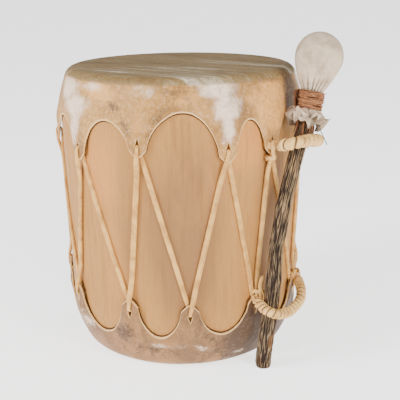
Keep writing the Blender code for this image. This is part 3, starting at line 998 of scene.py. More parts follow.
LOG_PATCHES = patches_of(
    warm=(
        (-40, 0.250, 12, 0.050, 0.0, 0.80), (30, 0.290, 14, 0.040, 0.0, 0.95),
        (-30, 0.120, 8, 0.060, 0.0, 0.35), (100, 0.240, 16, 0.070, 0.0, 0.80),
        (200, 0.200, 16, 0.080, 0.0, 0.80),
    ),
    stain=(
        # The patch at azimuth 46, beside the beater's stick, is its shadow painted on the wood.
        (-3, 0.170, 20, 0.130, 0.0, 1.00), (46, 0.180, 10, 0.120, 0.0, 1.00),
        (-26, 0.200, 6, 0.120, 0.0, 0.55), (150, 0.180, 18, 0.120, 0.0, 0.80),
        (250, 0.180, 18, 0.120, 0.0, 0.70),
    ),
)
TOP_PATCHES = patches_of(
    pale=(
        (17, 0.346, 10, 0.014, 0.0, 1.0), (20, 0.326, 7.5, 0.020, 0.5, 1.0),
        (20, 0.302, 3.8, 0.020, 1.0, 0.8), (-64, 0.340, 14, 0.018, 1.0, 0.90),
        (-55, 0.322, 12, 0.016, 1.5, 0.95), (-54, 0.296, 5.5, 0.026, 1.0, 0.85),
        (-44, 0.346, 9, 0.008, 0.0, 0.70), (-16, 0.345, 12, 0.010, 0.0, 0.50),
        (78, 0.345, 7, 0.020, 0.0, 0.90), (120, 0.320, 14, 0.028, 2.0, 0.85),
        (205, 0.326, 12, 0.026, -1.0, 0.80), (268, 0.315, 10, 0.028, 0.0, 0.70),
    ),
    warm=(
        (44, 0.322, 11, 0.034, 0.0, 1.30), (-40, 0.342, 11, 0.014, -3.0, 1.0),
        (38, 0.334, 11, 0.018, 2.0, 0.70), (3, 0.336, 7, 0.014, 0.0, 0.60),
        (-18, 0.310, 5, 0.022, 0.0, 0.45), (150, 0.332, 14, 0.018, 2.0, 0.80),
        (240, 0.330, 14, 0.020, 2.0, 0.75),
    ),
    stain=(
        (-6, 0.345, 20, 0.007, 0.0, 0.55), (-30, 0.327, 3.4, 0.007, -2.0, 0.80),
        (-24, 0.305, 2.4, 0.016, -3.5, 0.75), (-9, 0.320, 4.0, 0.014, 3.0, 0.60),
        # The patch at azimuth 62, under the beater's head, is its shadow painted on the hide.
        (-13, 0.300, 2.2, 0.014, 2.5, 0.45), (62, 0.325, 7.5, 0.045, 0.0, 1.40),
        (46, 0.350, 14, 0.005, 0.0, 0.60), (172, 0.318, 7, 0.018, 3.0, 0.65),
    ),
)
BOTTOM_PATCHES = patches_of(
    pale=(
        (8, 0.032, 5.0, 0.010, -5.0, 0.62), (-8, 0.036, 14.0, 0.006, 0.0, 0.52),
        (30, 0.017, 8.0, 0.004, 0.0, 0.50), (-58, 0.045, 11, 0.018, 2.0, 0.55),
        (150, 0.036, 14, 0.014, 2.0, 0.65), (236, 0.040, 10, 0.020, 2.0, 0.60),
    ),
    warm=(
        (-44, 0.060, 7, 0.020, 0.0, 0.55),
    ),
    stain=(
        (48, 0.030, 30, 0.080, 0.0, 1.60), (-30, 0.050, 8, 0.020, 2.0, 0.75),
        (-16, 0.028, 20, 0.014, 0.0, 0.60), (24, 0.024, 22, 0.014, 0.0, 0.65),
        (9, 0.052, 6, 0.018, -2.0, 0.60), (40, 0.050, 9, 0.024, 1.0, 0.70),
        (100, 0.040, 16, 0.018, 0.0, 0.60), (200, 0.036, 18, 0.018, 0.0, 0.60),
        (278, 0.042, 14, 0.018, 0.0, 0.55),
    ),
)


@dataclass
class HollowLog:
    """The log: a thick open tube of wood, tapered, with turned-in shoulders and rounded rims."""

    form: DrumForm = FORM
    patches: tuple[Patch, ...] = LOG_PATCHES
    wood: LogWood = LogWood()
    columns: int = 240
    rows: int = 72
    rim_rows: int = 5
    wall_thickness: float = 0.024
    inner_rings: int = 4
    bearing_lip: float = 0.004
    tool_marks: float = 0.00028
    mark_size: float = 0.035
    mark_stretch: float = 0.35

    def profile(self) -> list[tuple[float, float]]:
        """Radius and height of each ring, up the outside and down the inside."""
        form = self.form
        outer = [form.rim_arc(BOTTOM, 0, 1 - i / self.rim_rows) for i in range(self.rim_rows)]
        low, high = form.rim_z(BOTTOM), form.rim_z(TOP)
        outer += [form.side_point(low + (high - low) * i / self.rows, 0) for i in range(self.rows + 1)]
        outer += [form.rim_arc(TOP, 0, (i + 1) / self.rim_rows) for i in range(self.rim_rows)]
        half = form.shoulder_height / 2
        inner = [(outer[-1][0] - self.bearing_lip, outer[-1][1])]
        inner += [(form.wall(z)[0] - self.wall_thickness, z) for z in (high - half, low + half)]
        inner.append((outer[0][0] - self.bearing_lip, outer[0][1]))
        return outer + inner

    def build(self) -> list[Object]:
        """Makes the log.

        Returns:
            The log alone.
        """
        profile = self.profile()
        points: Points = []
        for ring, (radius, z) in enumerate(profile):
            carved = 0 < ring < len(profile) - self.inner_rings
            for i in range(self.columns):
                azimuth = 360 * i / self.columns
                point = polar(azimuth, radius, z)
                if carved:
                    mark = fractal(Vector((point.x, point.y, z * self.mark_stretch)), self.mark_size, 2)
                    point = polar(azimuth, radius + self.tool_marks * max(min(mark, 1), -1), z)
                points.append(point)
        faces = ring_faces(len(profile), self.columns, cyclic=True)
        made = piece("hollow_log", Skin(points, faces, marks(self.patches, points), {}), [self.wood.make()])
        return [dress(made, "log_wood", "shell")]


class Line(NamedTuple):
    """One line of a hide from the middle of its face to its cut edge.

    Attributes:
        azimuth: its direction.
        edge: distance of the cut edge from the drum's end.
        lift: share of the tab's full lift that it takes.
        side: place across a tab from -1 to 1, or None in an arch.
        tab: number of the nearest tab.
    """

    azimuth: float
    edge: float
    lift: float
    side: float | None
    tab: int


@dataclass
class RawhideHead:
    """One hide: a flat face, a rounded rim and a scalloped side whose tabs are slit for the thong."""

    name: str
    end: LogEnd
    node: str
    patches: tuple[Patch, ...]
    hide: Rawhide
    form: DrumForm = FORM
    edge_finish: CutHide = CutHide()
    # The dark finish is painted shadow, for the strip along the cut edge.
    shadow_line_finish: CutHide = CutHide("painted_shadow_line", (92, 56, 30), (64, 40, 24))
    tab_lines: int = 6
    arch_lines: int = 24
    face_rows: int = 10
    rim_rows: int = 5
    upper_rows: int = 15
    slit_rows: int = 7
    tip_rows: int = 5
    pull: float = 0.00060
    face_wave: float = 0.00012
    tab_raggedness: float = 0.0007
    arch_raggedness: float = 0.0008
    slit_height: float = 0.016
    # Strength of the painted highlight on the lips of the slits.
    lip_highlight: float = 0.8
    lip_curl: float = 0.0007
    slackness: float = 0.00035
    # Reach of the painted highlight up from the cut edge.
    edge_highlight_reach: float = 0.0030
    # Where the strip of painted shadow under the cut edge lies, how far it lifts and how thick it is.
    fringe_overlap: float = 0.0030
    fringe_reach: float = 0.0017
    fringe_share_at_tabs: float = 0.4
    fringe_lift: float = 0.00045
    fringe_thickness: float = 0.00008
    edge_bevel: float = 0.00035
    bevelled_angle: float = 50.0

    def lines(self) -> list[Line]:
        """Every line of the hide, all the way round."""
        form, end = self.form, self.end
        found: list[Line] = []
        for k in range(form.tabs):
            azimuth = end.azimuths[k]
            following = (k + 1) % form.tabs
            next_azimuth = end.azimuths[following] + (360 if following == 0 else 0)
            length, next_length = end.lengths[k], end.lengths[following]
            half_tab = math.degrees(form.tab_half_width / form.wall(form.at(end, length))[0])
            for i in range(-self.tab_lines, self.tab_lines + 1):
                side = i / self.tab_lines
                ragged = self.tab_raggedness * fractal(Vector((k * 7.1 + side * 1.6, end.sign, 0)), 1.0)
                edge = length - form.tab_rounding * abs(side) ** 1.6 + ragged
                found.append(Line(azimuth + half_tab * side, edge, 1 - 0.15 * side ** 2, side, k))
            middle = (azimuth + next_azimuth) / 2
            half_arch = (next_azimuth - azimuth) / 2 - half_tab
            for i in range(1, self.arch_lines):
                turn = math.pi * (i / self.arch_lines - 0.5)
                u = math.sin(turn)
                low = (length + next_length) / 2 + (next_length - length) / 2 * u - form.tab_rounding
                waver = self.arch_raggedness * fractal(Vector((k * 3.3 + u, end.sign * 2.0, 5)), 0.8)
                depth = low - (low - end.arches[k] + waver) * math.cos(turn) ** 1.24
                nearest = k if u < 0 else following
                found.append(Line(middle + u * half_arch, depth, 0.85 * abs(u) ** 4, None, nearest))
        return found

    def shares(self) -> list[float]:
        """Rows down the side as shares of the way to the cut edge, with rows at both ends of a slit."""
        start, stop = self.form.slit_start, self.form.slit_end
        rows = [start * (i / self.upper_rows) for i in range(1, self.upper_rows)]
        rows += [start + (stop - start) * i / self.slit_rows for i in range(self.slit_rows + 1)]
        rows += [stop + (1 - stop) * i / self.tip_rows for i in range(1, self.tip_rows + 1)]
        return [0.0, *rows]

    def slit_open(self, share: float) -> float:
        """Half width of a slit, pointed towards the drum's end and round where the thong pulls."""
        form = self.form
        along = (share - form.slit_start) / (form.slit_end - form.slit_start)
        if not 0 < along < 1:
            return 0.0
        return 1.15 * form.slit_half_width * along ** 1.2 * math.sqrt(1 - along ** 6)

    def side_place(self, line: Line, share: float, lip: int) -> Vector:
        """Point of the hide's inner side below the rim.

        Args:
            line: the line that it is on.
            share: how far down the line it is.
            lip: -1 or 1 on a lip of a slit, and 0 elsewhere.

        Returns:
            The point.
        """
        form, end = self.form, self.end
        z = form.rim_z(end) + (form.at(end, line.edge) - form.rim_z(end)) * share
        radius = form.wall(z)[0]
        grown = min(share / form.slit_start, 1) ** 1.5
        offset = form.hide_gap + form.tab_lift * line.lift * grown
        azimuth = line.azimuth
        opened = self.slit_open(share)
        if line.side is not None and opened:
            way = lip or math.copysign(1, line.side)
            azimuth += math.degrees(way * opened * (1 - abs(line.side)) ** 2 / radius)
            offset += self.lip_curl * (1 - abs(line.side)) ** 3 * opened / form.slit_half_width
        offset += self.tension(line, azimuth, radius, z)
        reach, height = form.side_point(z, offset)
        return polar(azimuth, reach, height)

    def tension(self, line: Line, azimuth: float, radius: float, z: float) -> float:
        """Relief of the folds that fan out from a slit, and the slow unevenness of the hide."""
        form, end = self.form, self.end
        slit = form.at(end, end.lengths[line.tab]) + end.sign * self.slit_height
        across = math.radians((azimuth - end.azimuths[line.tab] + 180) % 360 - 180) * radius
        up = (z - slit) * end.sign
        distance = math.hypot(across, up)
        fan = math.atan2(across, max(up, -0.004) + 0.006)
        ridge = math.cos(7 * fan + line.tab) + 0.6 * math.cos(12 * fan + 2 * line.tab)
        reach = math.exp(-((distance - 0.018) / 0.022) ** 2) * ease(0.0, 0.010, up)
        slow = fractal(Vector((across * 0.4 + line.tab, z, end.sign)), 0.02, 2)
        slack = self.slackness * (1 + slow) * ease(0.0, 0.03, abs(z - form.rim_z(end)))
        return self.pull * ridge * reach + slack

    def build(self) -> list[Object]:
        """Makes the hide.

        Returns:
            The hide and the thin strip of painted shadow on the wood along its edge.
        """
        form, end = self.form, self.end
        points = [Vector((0, 0, form.face_z(end) - end.sign * form.hide_thickness))]
        edge_highlights = [0.0]
        tracks: list[list[tuple[int, int]]] = []
        shares = self.shares()
        rim_radius = form.rim_arc(end, form.hide_gap, 1)[0]
        for line in self.lines():
            rows: list[tuple[Points, float]] = []
            for i in range(1, self.face_rows + 1):
                share = (i / self.face_rows) ** 0.8
                point = polar(line.azimuth, rim_radius * share, points[0].z)
                point.z += end.sign * self.face_wave * fractal(point, 0.05, 2) * (1 - share)
                rows.append(([point], 0.0))
            for i in range(self.rim_rows - 1, 0, -1):
                point = polar(line.azimuth, *form.rim_arc(end, form.hide_gap, i / self.rim_rows))
                rows.append(([point], 0.0))
            for share in shares:
                left = (1 - share) * (line.edge - abs(form.face_z(end) - form.rim_z(end)))
                # The second number of each row is the strength of the painted highlight there.
                if line.side == 0 and self.slit_open(share):
                    lips = [self.side_place(line, share, lip) for lip in (-1, 1)]
                    rows.append((lips, self.lip_highlight))
                else:
                    rows.append(([self.side_place(line, share, 0)], ease(self.edge_highlight_reach, 0.0004, left)))
            track: list[tuple[int, int]] = []
            for places, edge in rows:
                track.append((len(points), len(points) + len(places) - 1))
                points += places
                edge_highlights += [edge] * len(places)
            tracks.append(track)
        faces: list[Face] = []
        for here, there in zip(tracks, tracks[1:] + tracks[:1]):
            bands: list[Face] = [(0, here[0][1], there[0][0])]
            for a, b, c, d in zip(here, here[1:], there, there[1:]):
                bands.append((a[1], b[1], d[0], c[0]))
            faces += bands if end.sign > 0 else flipped(bands)
        made = piece(self.name, Skin(points, faces, self.colouring(points, edge_highlights), {}),
                     [self.hide.make(), self.edge_finish.make()])
        self.finish_edge(made)
        return [dress(made, "rawhide", self.node), self.edge_shadow_strip()]

    def edge_shadow_strip(self) -> Object:
        """Makes a thin dark strip on the wood along the hide's cut edge: painted shadow under that edge.

        Returns:
            The line.
        """
        form, end = self.form, self.end
        points: Points = []
        for line in self.lines():
            share = 1.0 if line.side is None else self.fringe_share_at_tabs
            for beyond in (-self.fringe_overlap, self.fringe_reach):
                z = form.at(end, line.edge + beyond * share)
                radius, height = form.side_point(z, self.fringe_lift)
                points.append(polar(line.azimuth, radius, height))
        count = len(points)
        faces = [(i, i + 1, (i + 3) % count, (i + 2) % count) for i in range(0, count, 2)]
        if end.sign < 0:
            faces = flipped(faces)
        # A dark strip laid on the wood: painted shadow.
        made = piece(f"{self.name}_painted_shadow_strip", Skin(points, faces, {}, {}), [self.shadow_line_finish.make()])
        thickened(made, self.fringe_thickness, -1)
        return dress(made, "rawhide")

    def colouring(self, points: Sequence[Vector], edge_highlights: list[float]) -> dict[str, list[float]]:
        """Strength of each mark, of the flat face and of the painted highlight by the cut edge at each point.

        Args:
            points: the points of the hide.
            edge_highlights: strength of the painted highlight at each point, from 0 to 1, full by the cut
                edge and on the lips of the slits.

        Returns:
            The strengths by name.
        """
        form = self.form
        rim = form.rim_arc(self.end, form.hide_gap, 0.35)[0]
        found = marks(self.patches, points)
        found["face"] = []
        for point in points:
            radius = math.hypot(point.x, point.y)
            if self.end.sign > 0:
                waver = 0.0006 * fractal(point, 0.03, 2)
                flat = ease(form.rim_z(self.end) + 0.0004, form.rim_z(self.end) + 0.0028, point.z + waver)
            else:
                near_face = abs(point.z - form.face_z(self.end))
                flat = ease(rim + 0.001, rim - 0.006, radius) if near_face < 0.02 else 0.0
            found["face"].append(flat)
        found["edge"] = edge_highlights
        return found

    def finish_edge(self, made: Object) -> None:
        """Gives the hide its thickness, a pale cut edge and softened corners."""
        thickened(made, self.form.hide_thickness, 1).material_offset_rim = 1
        corner = made.modifiers.new("Worn edge", "BEVEL")
        corner.width = self.edge_bevel
        corner.segments = 2
        corner.limit_method = "ANGLE"
        corner.angle_limit = math.radians(self.bevelled_angle)
        corner.material = -1


# Lacing, ties and handles


@dataclass
class Lacing:
    """One closed thong that zigzags round the drum, up outside the hides and down inside them."""

    form: DrumForm = FORM
    hide: ThongHide = ThongHide("thong_hide")
    width_in_slit: float = 0.0040
    hairpin_drop: float = 0.0009
    hairpin_steps: int = 8
    strand_steps: int = 26
    groove: float = 0.0003
    crease_place: float = 0.22
    crease_width: float = 0.10
    crease_shade: float = 0.40
    slit_crease: float = 0.4
    sides: int = 16
    bow: float = 0.68
    full_thickness: float = 0.0040

    def hairpin(self, end: LogEnd, k: int) -> Points:
        """Thong through slit k, from outside to inside."""
        form = self.form
        middle = (form.outer_standoff + form.inner_standoff) / 2
        bend = (form.outer_standoff - form.inner_standoff) / 2
        base = form.slit_z(end, k) - end.sign * self.hairpin_drop
        angles = [math.pi * i / self.hairpin_steps for i in range(self.hairpin_steps + 1)]
        return [form.on_wall(end.azimuths[k], middle + bend * math.cos(angle),
                             base + end.sign * bend * math.sin(angle)) for angle in angles]

    def strand_ends(self, k: int) -> tuple[float, float]:
        """Heights of both ends of the outer strand of pair k."""
        return (self.form.slit_z(BOTTOM, k) + self.hairpin_drop, self.form.slit_z(TOP, k) - self.hairpin_drop)

    def strand_point(self, k: int, share: float) -> Vector:
        """Point on the outer strand of pair k, which lies closer to the wood between its slits.

        Args:
            k: number of the pair.
            share: 0 at the bottom slit and 1 at the top one.

        Returns:
            The point.
        """
        low, high = self.strand_ends(k)
        azimuth = BOTTOM.azimuths[k] + (TOP.azimuths[k] - BOTTOM.azimuths[k]) * share
        closer = self.bow * ease(0.02, 0.20, share) * ease(0.98, 0.80, share)
        return self.form.on_wall(azimuth, self.form.outer_standoff * (1 - closer), low + (high - low) * share)

    def share_at(self, k: int, z: float) -> float:
        """Share of the way up the outer strand of pair k at a height."""
        low, high = self.strand_ends(k)
        return (z - low) / (high - low)

    def route(self) -> tuple[Points, list[float], list[float], list[float]]:
        """The whole thong.

        Returns:
            Its points, its width at each, how far it leans there, and how deep its crease is there.
        """
        form = self.form
        rows: list[tuple[Vector, float, float, float]] = []
        for k in range(form.tabs):
            full = form.thong_width * (1.12 + 0.20 * ripple(k * 3.7, 1, 0))
            lean = 0.28 * ripple(k * 2.3, 5, 0)
            lower = list(reversed(self.hairpin(BOTTOM, k)))
            upper = self.hairpin(TOP, k)
            rows += [(point, self.width_in_slit, 0, self.slit_crease) for point in lower[:-1]]
            for i in range(self.strand_steps + 1):
                share = i / self.strand_steps
                open_share = ease(0, 0.10, share) * ease(1, 0.90, share)
                width = self.width_in_slit + (full - self.width_in_slit) * open_share
                width *= 1 + 0.06 * ripple(k, share * 9, 3)
                twist = (lean + 0.22 * ripple(k, share * 3, 8)) * open_share
                crease = self.slit_crease + (1 - self.slit_crease) * open_share
                rows.append((self.strand_point(k, share), width, twist, crease))
            rows += [(point, self.width_in_slit, 0, self.slit_crease) for point in upper[1:]]
            following = (k + 1) % form.tabs
            start, finish = self.inner_ends(k, following)
            full = form.thong_width * (1.06 + 0.20 * ripple(k * 5.1, 2, 0))
            for i in range(1, self.strand_steps):
                share = i / self.strand_steps
                open_share = ease(0, 0.12, share) * ease(1, 0.88, share)
                place = [a + (b - a) * share for a, b in zip(start, finish)]
                width = self.width_in_slit + (full - self.width_in_slit) * open_share
                point = form.on_wall(place[0], form.inner_standoff, place[1])
                rows.append((point, width, 0, 0.5 * open_share))
        path, widths, rolls, grooves = (list(column) for column in zip(*rows))
        return path, widths, rolls, grooves

    def inner_ends(self, k: int, following: int) -> tuple[tuple[float, float], tuple[float, float]]:
        """Azimuth and height of both ends of an inner strand."""
        turn = 360 if following == 0 else 0
        top_z, bottom_z = self.strand_ends(k)[1], self.strand_ends(following)[0]
        return (TOP.azimuths[k], top_z), (BOTTOM.azimuths[following] + turn, bottom_z)

    def build(self) -> list[Object]:
        """Makes the thong.

        Returns:
            The thong alone.
        """
        path, widths, rolls, grooves = self.route()
        outs: Points = []
        for i, point in enumerate(path):
            along = (path[(i + 1) % len(path)] - path[i - 1]).normalized()
            across = Vector((0, 0, 1)).cross(outward(point))
            across = (across - along * across.dot(along)).normalized()
            outs.append(across.cross(along))
        base = self.form.thong_thickness
        thick = [base + (self.full_thickness - base) * ease(self.width_in_slit, self.form.thong_width, width)
                 for width in widths]
        plain = thong_section(widths, thick, 0, rolls)

        def section(i: int, angle: float) -> Triple:
            """The thong's section, creased on the side that faces out."""
            x, y, level = plain(i, angle)
            facing = outs[i].dot(outward(path[i]))
            if math.sin(angle) * facing > 0:
                off = (x / widths[i] - self.crease_place) / self.crease_width
                crease = grooves[i] * math.exp(-off ** 2)
                y -= math.copysign(self.groove * crease, facing)
                level -= self.crease_shade * crease
            return x, y, level

        skin = bar(path, outs, section, self.sides, cyclic=True)
        for k in range(self.form.tabs):
            first = k * len(path) // self.form.tabs * self.sides
            last = (k + 1) * len(path) // self.form.tabs * self.sides
            skin.values["tone"][first:last] = [abs(ripple(k * 1.9, 4, 4))] * (last - first)
        made = piece("thong_lacing", skin, [self.hide.make()])
        return [dress(made, "thong_hide", "lacing")]


class StickPoint(NamedTuple):
    """A point of the beater's stick: azimuth, distance of its middle from the wood, and height."""

    azimuth: float
    standoff: float
    z: float


@dataclass(frozen=True)
class BeaterForm:
    """Sizes of the beater and the line that it leans along."""

    stick_radius: float = 0.0092
    foot_radius: float = 0.0098
    collar_radius: float = 0.0080
    socket_depth: float = 0.030
    head_length: float = 0.080
    head_radius: float = 0.0283
    neck_radius: float = 0.0128
    skirt_length: float = 0.031
    skirt_radius: float = 0.0205
    binding_height: float = 0.022
    binding_radius: float = 0.0158
    clearance: float = 0.0004
    route: tuple[StickPoint, ...] = tuple(StickPoint(*row) for row in (
        (36.7, 0.0300, 0.000), (36.7, 0.0300, 0.010), (35.9, 0.0262, 0.043), (36.8, 0.0245, 0.070),
        (37.9, 0.0242, 0.097), (39.3, 0.0232, 0.150), (41.5, 0.0226, 0.176), (44.4, 0.0220, 0.208),
        (48.6, 0.0215, 0.243), (51.2, 0.0226, 0.266),
    ))
    neck_place: StickPoint = StickPoint(57.4, 0.0315, 0.3258)
    lean_way: Triple = (0.016, 0.010, 0.079)

    @property
    def neck(self) -> Vector:
        """Middle of the beater's neck."""
        return FORM.on_wall(*self.neck_place)

    @property
    def lean(self) -> Vector:
        """Direction in which the head leans."""
        return Vector(self.lean_way).normalized()

    def stick_line(self) -> Points:
        """Middle line of the stick, from the ground into the head's socket."""
        points = [FORM.on_wall(*place) for place in self.route]
        points.append(self.neck - self.lean * self.skirt_length)
        mouth = self.neck - self.lean * self.binding_height / 2
        end = self.neck + self.lean * (self.socket_depth - self.clearance)
        return [points[0], *smooth_route(points[1:], 2), mouth, end]

    def stick_radius_at(self, point: Vector) -> float:
        """Radius of the stick at a point of its line."""
        share = min(max(point.z / self.neck_place.z, 0), 1)
        radius = self.foot_radius + (self.stick_radius - self.foot_radius) * min(share / 0.4, 1)
        entered = (point - self.neck).dot(self.lean) + self.skirt_length
        inside = min(max(entered / (self.skirt_length - self.binding_height / 2), 0), 1)
        return radius + (self.collar_radius - radius) * inside


BEATER = BeaterForm()


class HandlePoint(NamedTuple):
    """A point of a handle: share of the way between its two tabs, share of its bow, distance from the end."""

    way: float
    bow: float
    distance: float


class HandleKind(Enum):
    """Which of the two handles it is."""

    UPPER = "upper"
    LOWER = "lower"


@dataclass
class WrappedHandle:
    """A rawhide strip wound round a bowed core, from one pair of strands to the next, past the stick."""

    kind: HandleKind
    end: LogEnd
    route: tuple[HandlePoint, ...]
    pitch: float
    radius: float
    hide: ThongHide
    form: DrumForm = FORM
    pair: int = 3
    core_radius: float = 0.0056
    play: float = 0.0022
    sides: int = 30
    ring_spacing: float = 0.00045
    gap_depth: float = 0.30
    overlap: float = 0.10
    tail_length: float = 0.010
    tail_share: float = 0.60
    unevenness: float = 0.16
    ribbing: float = 0.03

    def centre_line(self) -> Points:
        """Middle line of the handle."""
        stick = BEATER.stick_line()
        start, finish = self.end.azimuths[self.pair], self.end.azimuths[self.pair + 1]
        places = []
        for way, bow, distance in self.route:
            z = self.form.at(self.end, distance)
            nearest = min(stick, key=lambda point: abs(point.z - z))
            clear = math.hypot(nearest.x, nearest.y) - self.form.wall(z)[0]
            standoff = bow * (clear + BEATER.stick_radius + self.core_radius + self.play)
            places.append(self.form.on_wall(start + (finish - start) * way, standoff, z))
        return even_route(smooth_route(places, 14), self.ring_spacing)

    def build(self) -> list[Object]:
        """Makes the wound handle.

        Returns:
            The handle alone.
        """
        line = self.centre_line()
        total = self.ring_spacing * (len(line) - 1)
        points: Points = []
        depth: list[float] = []
        tones: list[float] = []
        straight: Points = []
        for i, (middle, (across, out)) in enumerate(zip(line, carried(line, outward(line[0])))):
            s = i * self.ring_spacing
            ends = ease(0, self.tail_length, s) * ease(total, total - self.tail_length, s)
            for j in range(self.sides):
                angle = math.tau * j / self.sides
                turns = s / self.pitch - angle / math.tau
                turns += self.unevenness * math.sin(2.3 * turns) * math.sin(0.7 * turns + 1)
                band = math.floor(turns)
                frac = turns - band
                wide = 0.06 * ripple(band * 4.1, 2, 9)
                edge = abs(2 * frac - 1)
                fall = 1 - math.sqrt(max(1 - edge ** 3.0, 0))
                height = 1 + wide - self.gap_depth * fall + self.overlap * (frac - 0.5) * (1 - edge ** 6)
                height += self.ribbing * math.sin(math.tau * frac * 3 + band)
                radius = self.radius * height * (self.tail_share + (1 - self.tail_share) * ends)
                points.append(middle + (across * math.cos(angle) + out * math.sin(angle)) * radius)
                # Painted shade between the turns: the finish darkens where this is low.
                depth.append(1 - edge ** 4.5)
                tones.append(min(max(0.5 + 0.9 * ripple(band * 2.7, 7, 1), 0), 1))
                straight.append(Vector((frac * self.pitch, radius, angle * self.radius + band * 0.05)))
        skin = Skin(points, ring_faces(len(line), self.sides), {"depth": depth, "tone": tones},
                    {"straight": straight})
        made = piece(f"{self.kind.value}_wrapped_handle", skin, [self.hide.make()])
        return [dress(made, "wrap_hide", f"{self.kind.value}_handle")]


UPPER_ROUTE = tuple(HandlePoint(*row) for row in (
    (0.012, 0.42, 0.0850), (-0.006, 0.62, 0.0802), (0.006, 0.86, 0.0774), (0.057, 0.99, 0.0758),
    (0.173, 1.00, 0.0762), (0.298, 1.00, 0.0774), (0.466, 0.93, 0.0818), (0.640, 0.76, 0.0870),
    (0.780, 0.54, 0.0912), (0.880, 0.40, 0.0945),
))
LOWER_ROUTE = tuple(HandlePoint(*row) for row in (
    (-0.070, 0.44, 0.0950), (-0.078, 0.56, 0.0885), (-0.070, 0.80, 0.0848), (-0.040, 0.96, 0.0830),
    (0.030, 1.02, 0.0798), (0.120, 1.03, 0.0780), (0.230, 1.03, 0.0780), (0.340, 1.01, 0.0808),
    (0.450, 0.97, 0.0851), (0.530, 0.89, 0.0905), (0.620, 0.74, 0.0938), (0.740, 0.54, 0.0958),
    (0.860, 0.40, 0.0975),
))


class TiePoint(NamedTuple):
    """A point of a tie, set out from the strand that it holds: round the drum, off the wood and up."""

    side: float
    off: float
    up: float


@dataclass
class HandleTie:
    """Thong knotted round a strand of the lacing and the end of a handle, with a free end."""

    name: str
    node: str
    lacing: Lacing
    pair: int
    z: float
    strips: tuple[tuple[TiePoint, ...], ...]
    width: float = 0.0048
    thickness: float = 0.0022
    crease: float = 0.0004
    tip_length: float = 0.003
    tip_share: float = 0.55
    sides: int = 14
    spacing: float = 0.0006
    hide: ThongHide = ThongHide("tie_hide", light=(234, 188, 116), deep=(194, 144, 80))

    def centre(self) -> tuple[Vector, Vector]:
        """Point on the strand that the tie is round, and the direction out from it."""
        middle = self.lacing.strand_point(self.pair, self.lacing.share_at(self.pair, self.z))
        return middle, outward(middle)

    def strip(self, places: Sequence[TiePoint], number: int) -> Skin:
        """One strip of the tie.

        Args:
            places: the points that it passes through.
            number: which strip it is.

        Returns:
            The strip.
        """
        middle, out = self.centre()
        sideways = Vector((0, 0, 1)).cross(out)
        knots = [middle + sideways * p.side + out * p.off + Vector((0, 0, p.up)) for p in places]
        path = even_route(smooth_route(knots, 10), self.spacing)
        heart = sum(knots, Vector()) / len(knots)
        outs = [((point - heart) * 0.5 + out * 0.004).normalized() for point in path]
        count = len(path)
        widths: list[float] = []
        for i in range(count):
            end = min(i, count - 1 - i) * self.spacing
            full = self.tip_share + (1 - self.tip_share) * ease(0, self.tip_length, end)
            widths.append(self.width * full * (1 + 0.10 * ripple(number * 5, i * 0.09, 1)))
        rolls = [0.25 * ripple(number * 3, i * 0.06, 2) for i in range(count)]
        section = thong_section(widths, [self.thickness] * count, self.crease, rolls)
        return bar(path, outs, section, self.sides, shade=0.3 + 0.2 * (number % 3))

    def build(self) -> list[Object]:
        """Makes the tie.

        Returns:
            The tie alone.
        """
        skin = joined([self.strip(places, number) for number, places in enumerate(self.strips)])
        made = piece(self.name, skin, [self.hide.make()])
        return [dress(made, "thong_hide", self.node)]


def strip_through(*rows: Triple) -> tuple[TiePoint, ...]:
    """Points of a strip, listed one by one."""
    return tuple(TiePoint(*row) for row in rows)


def wrap_round(across: float, off: float, low: float, high: float, turns: float,
               start: float) -> tuple[TiePoint, ...]:
    """Points of a strip that winds round a strand.

    Args:
        across: half its width round the drum.
        off: half its depth off the wood.
        low: height that it starts at.
        high: height that it ends at.
        turns: number of turns.
        start: angle that it starts at, in turns.

    Returns:
        The points.
    """
    steps = max(int(turns * 8), 4)
    found: list[TiePoint] = []
    for i in range(steps + 1):
        angle = math.tau * (start + turns * i / steps)
        up = low + (high - low) * i / steps
        found.append(TiePoint(across * math.cos(angle), off * math.sin(angle), up))
    return tuple(found)


# The beater


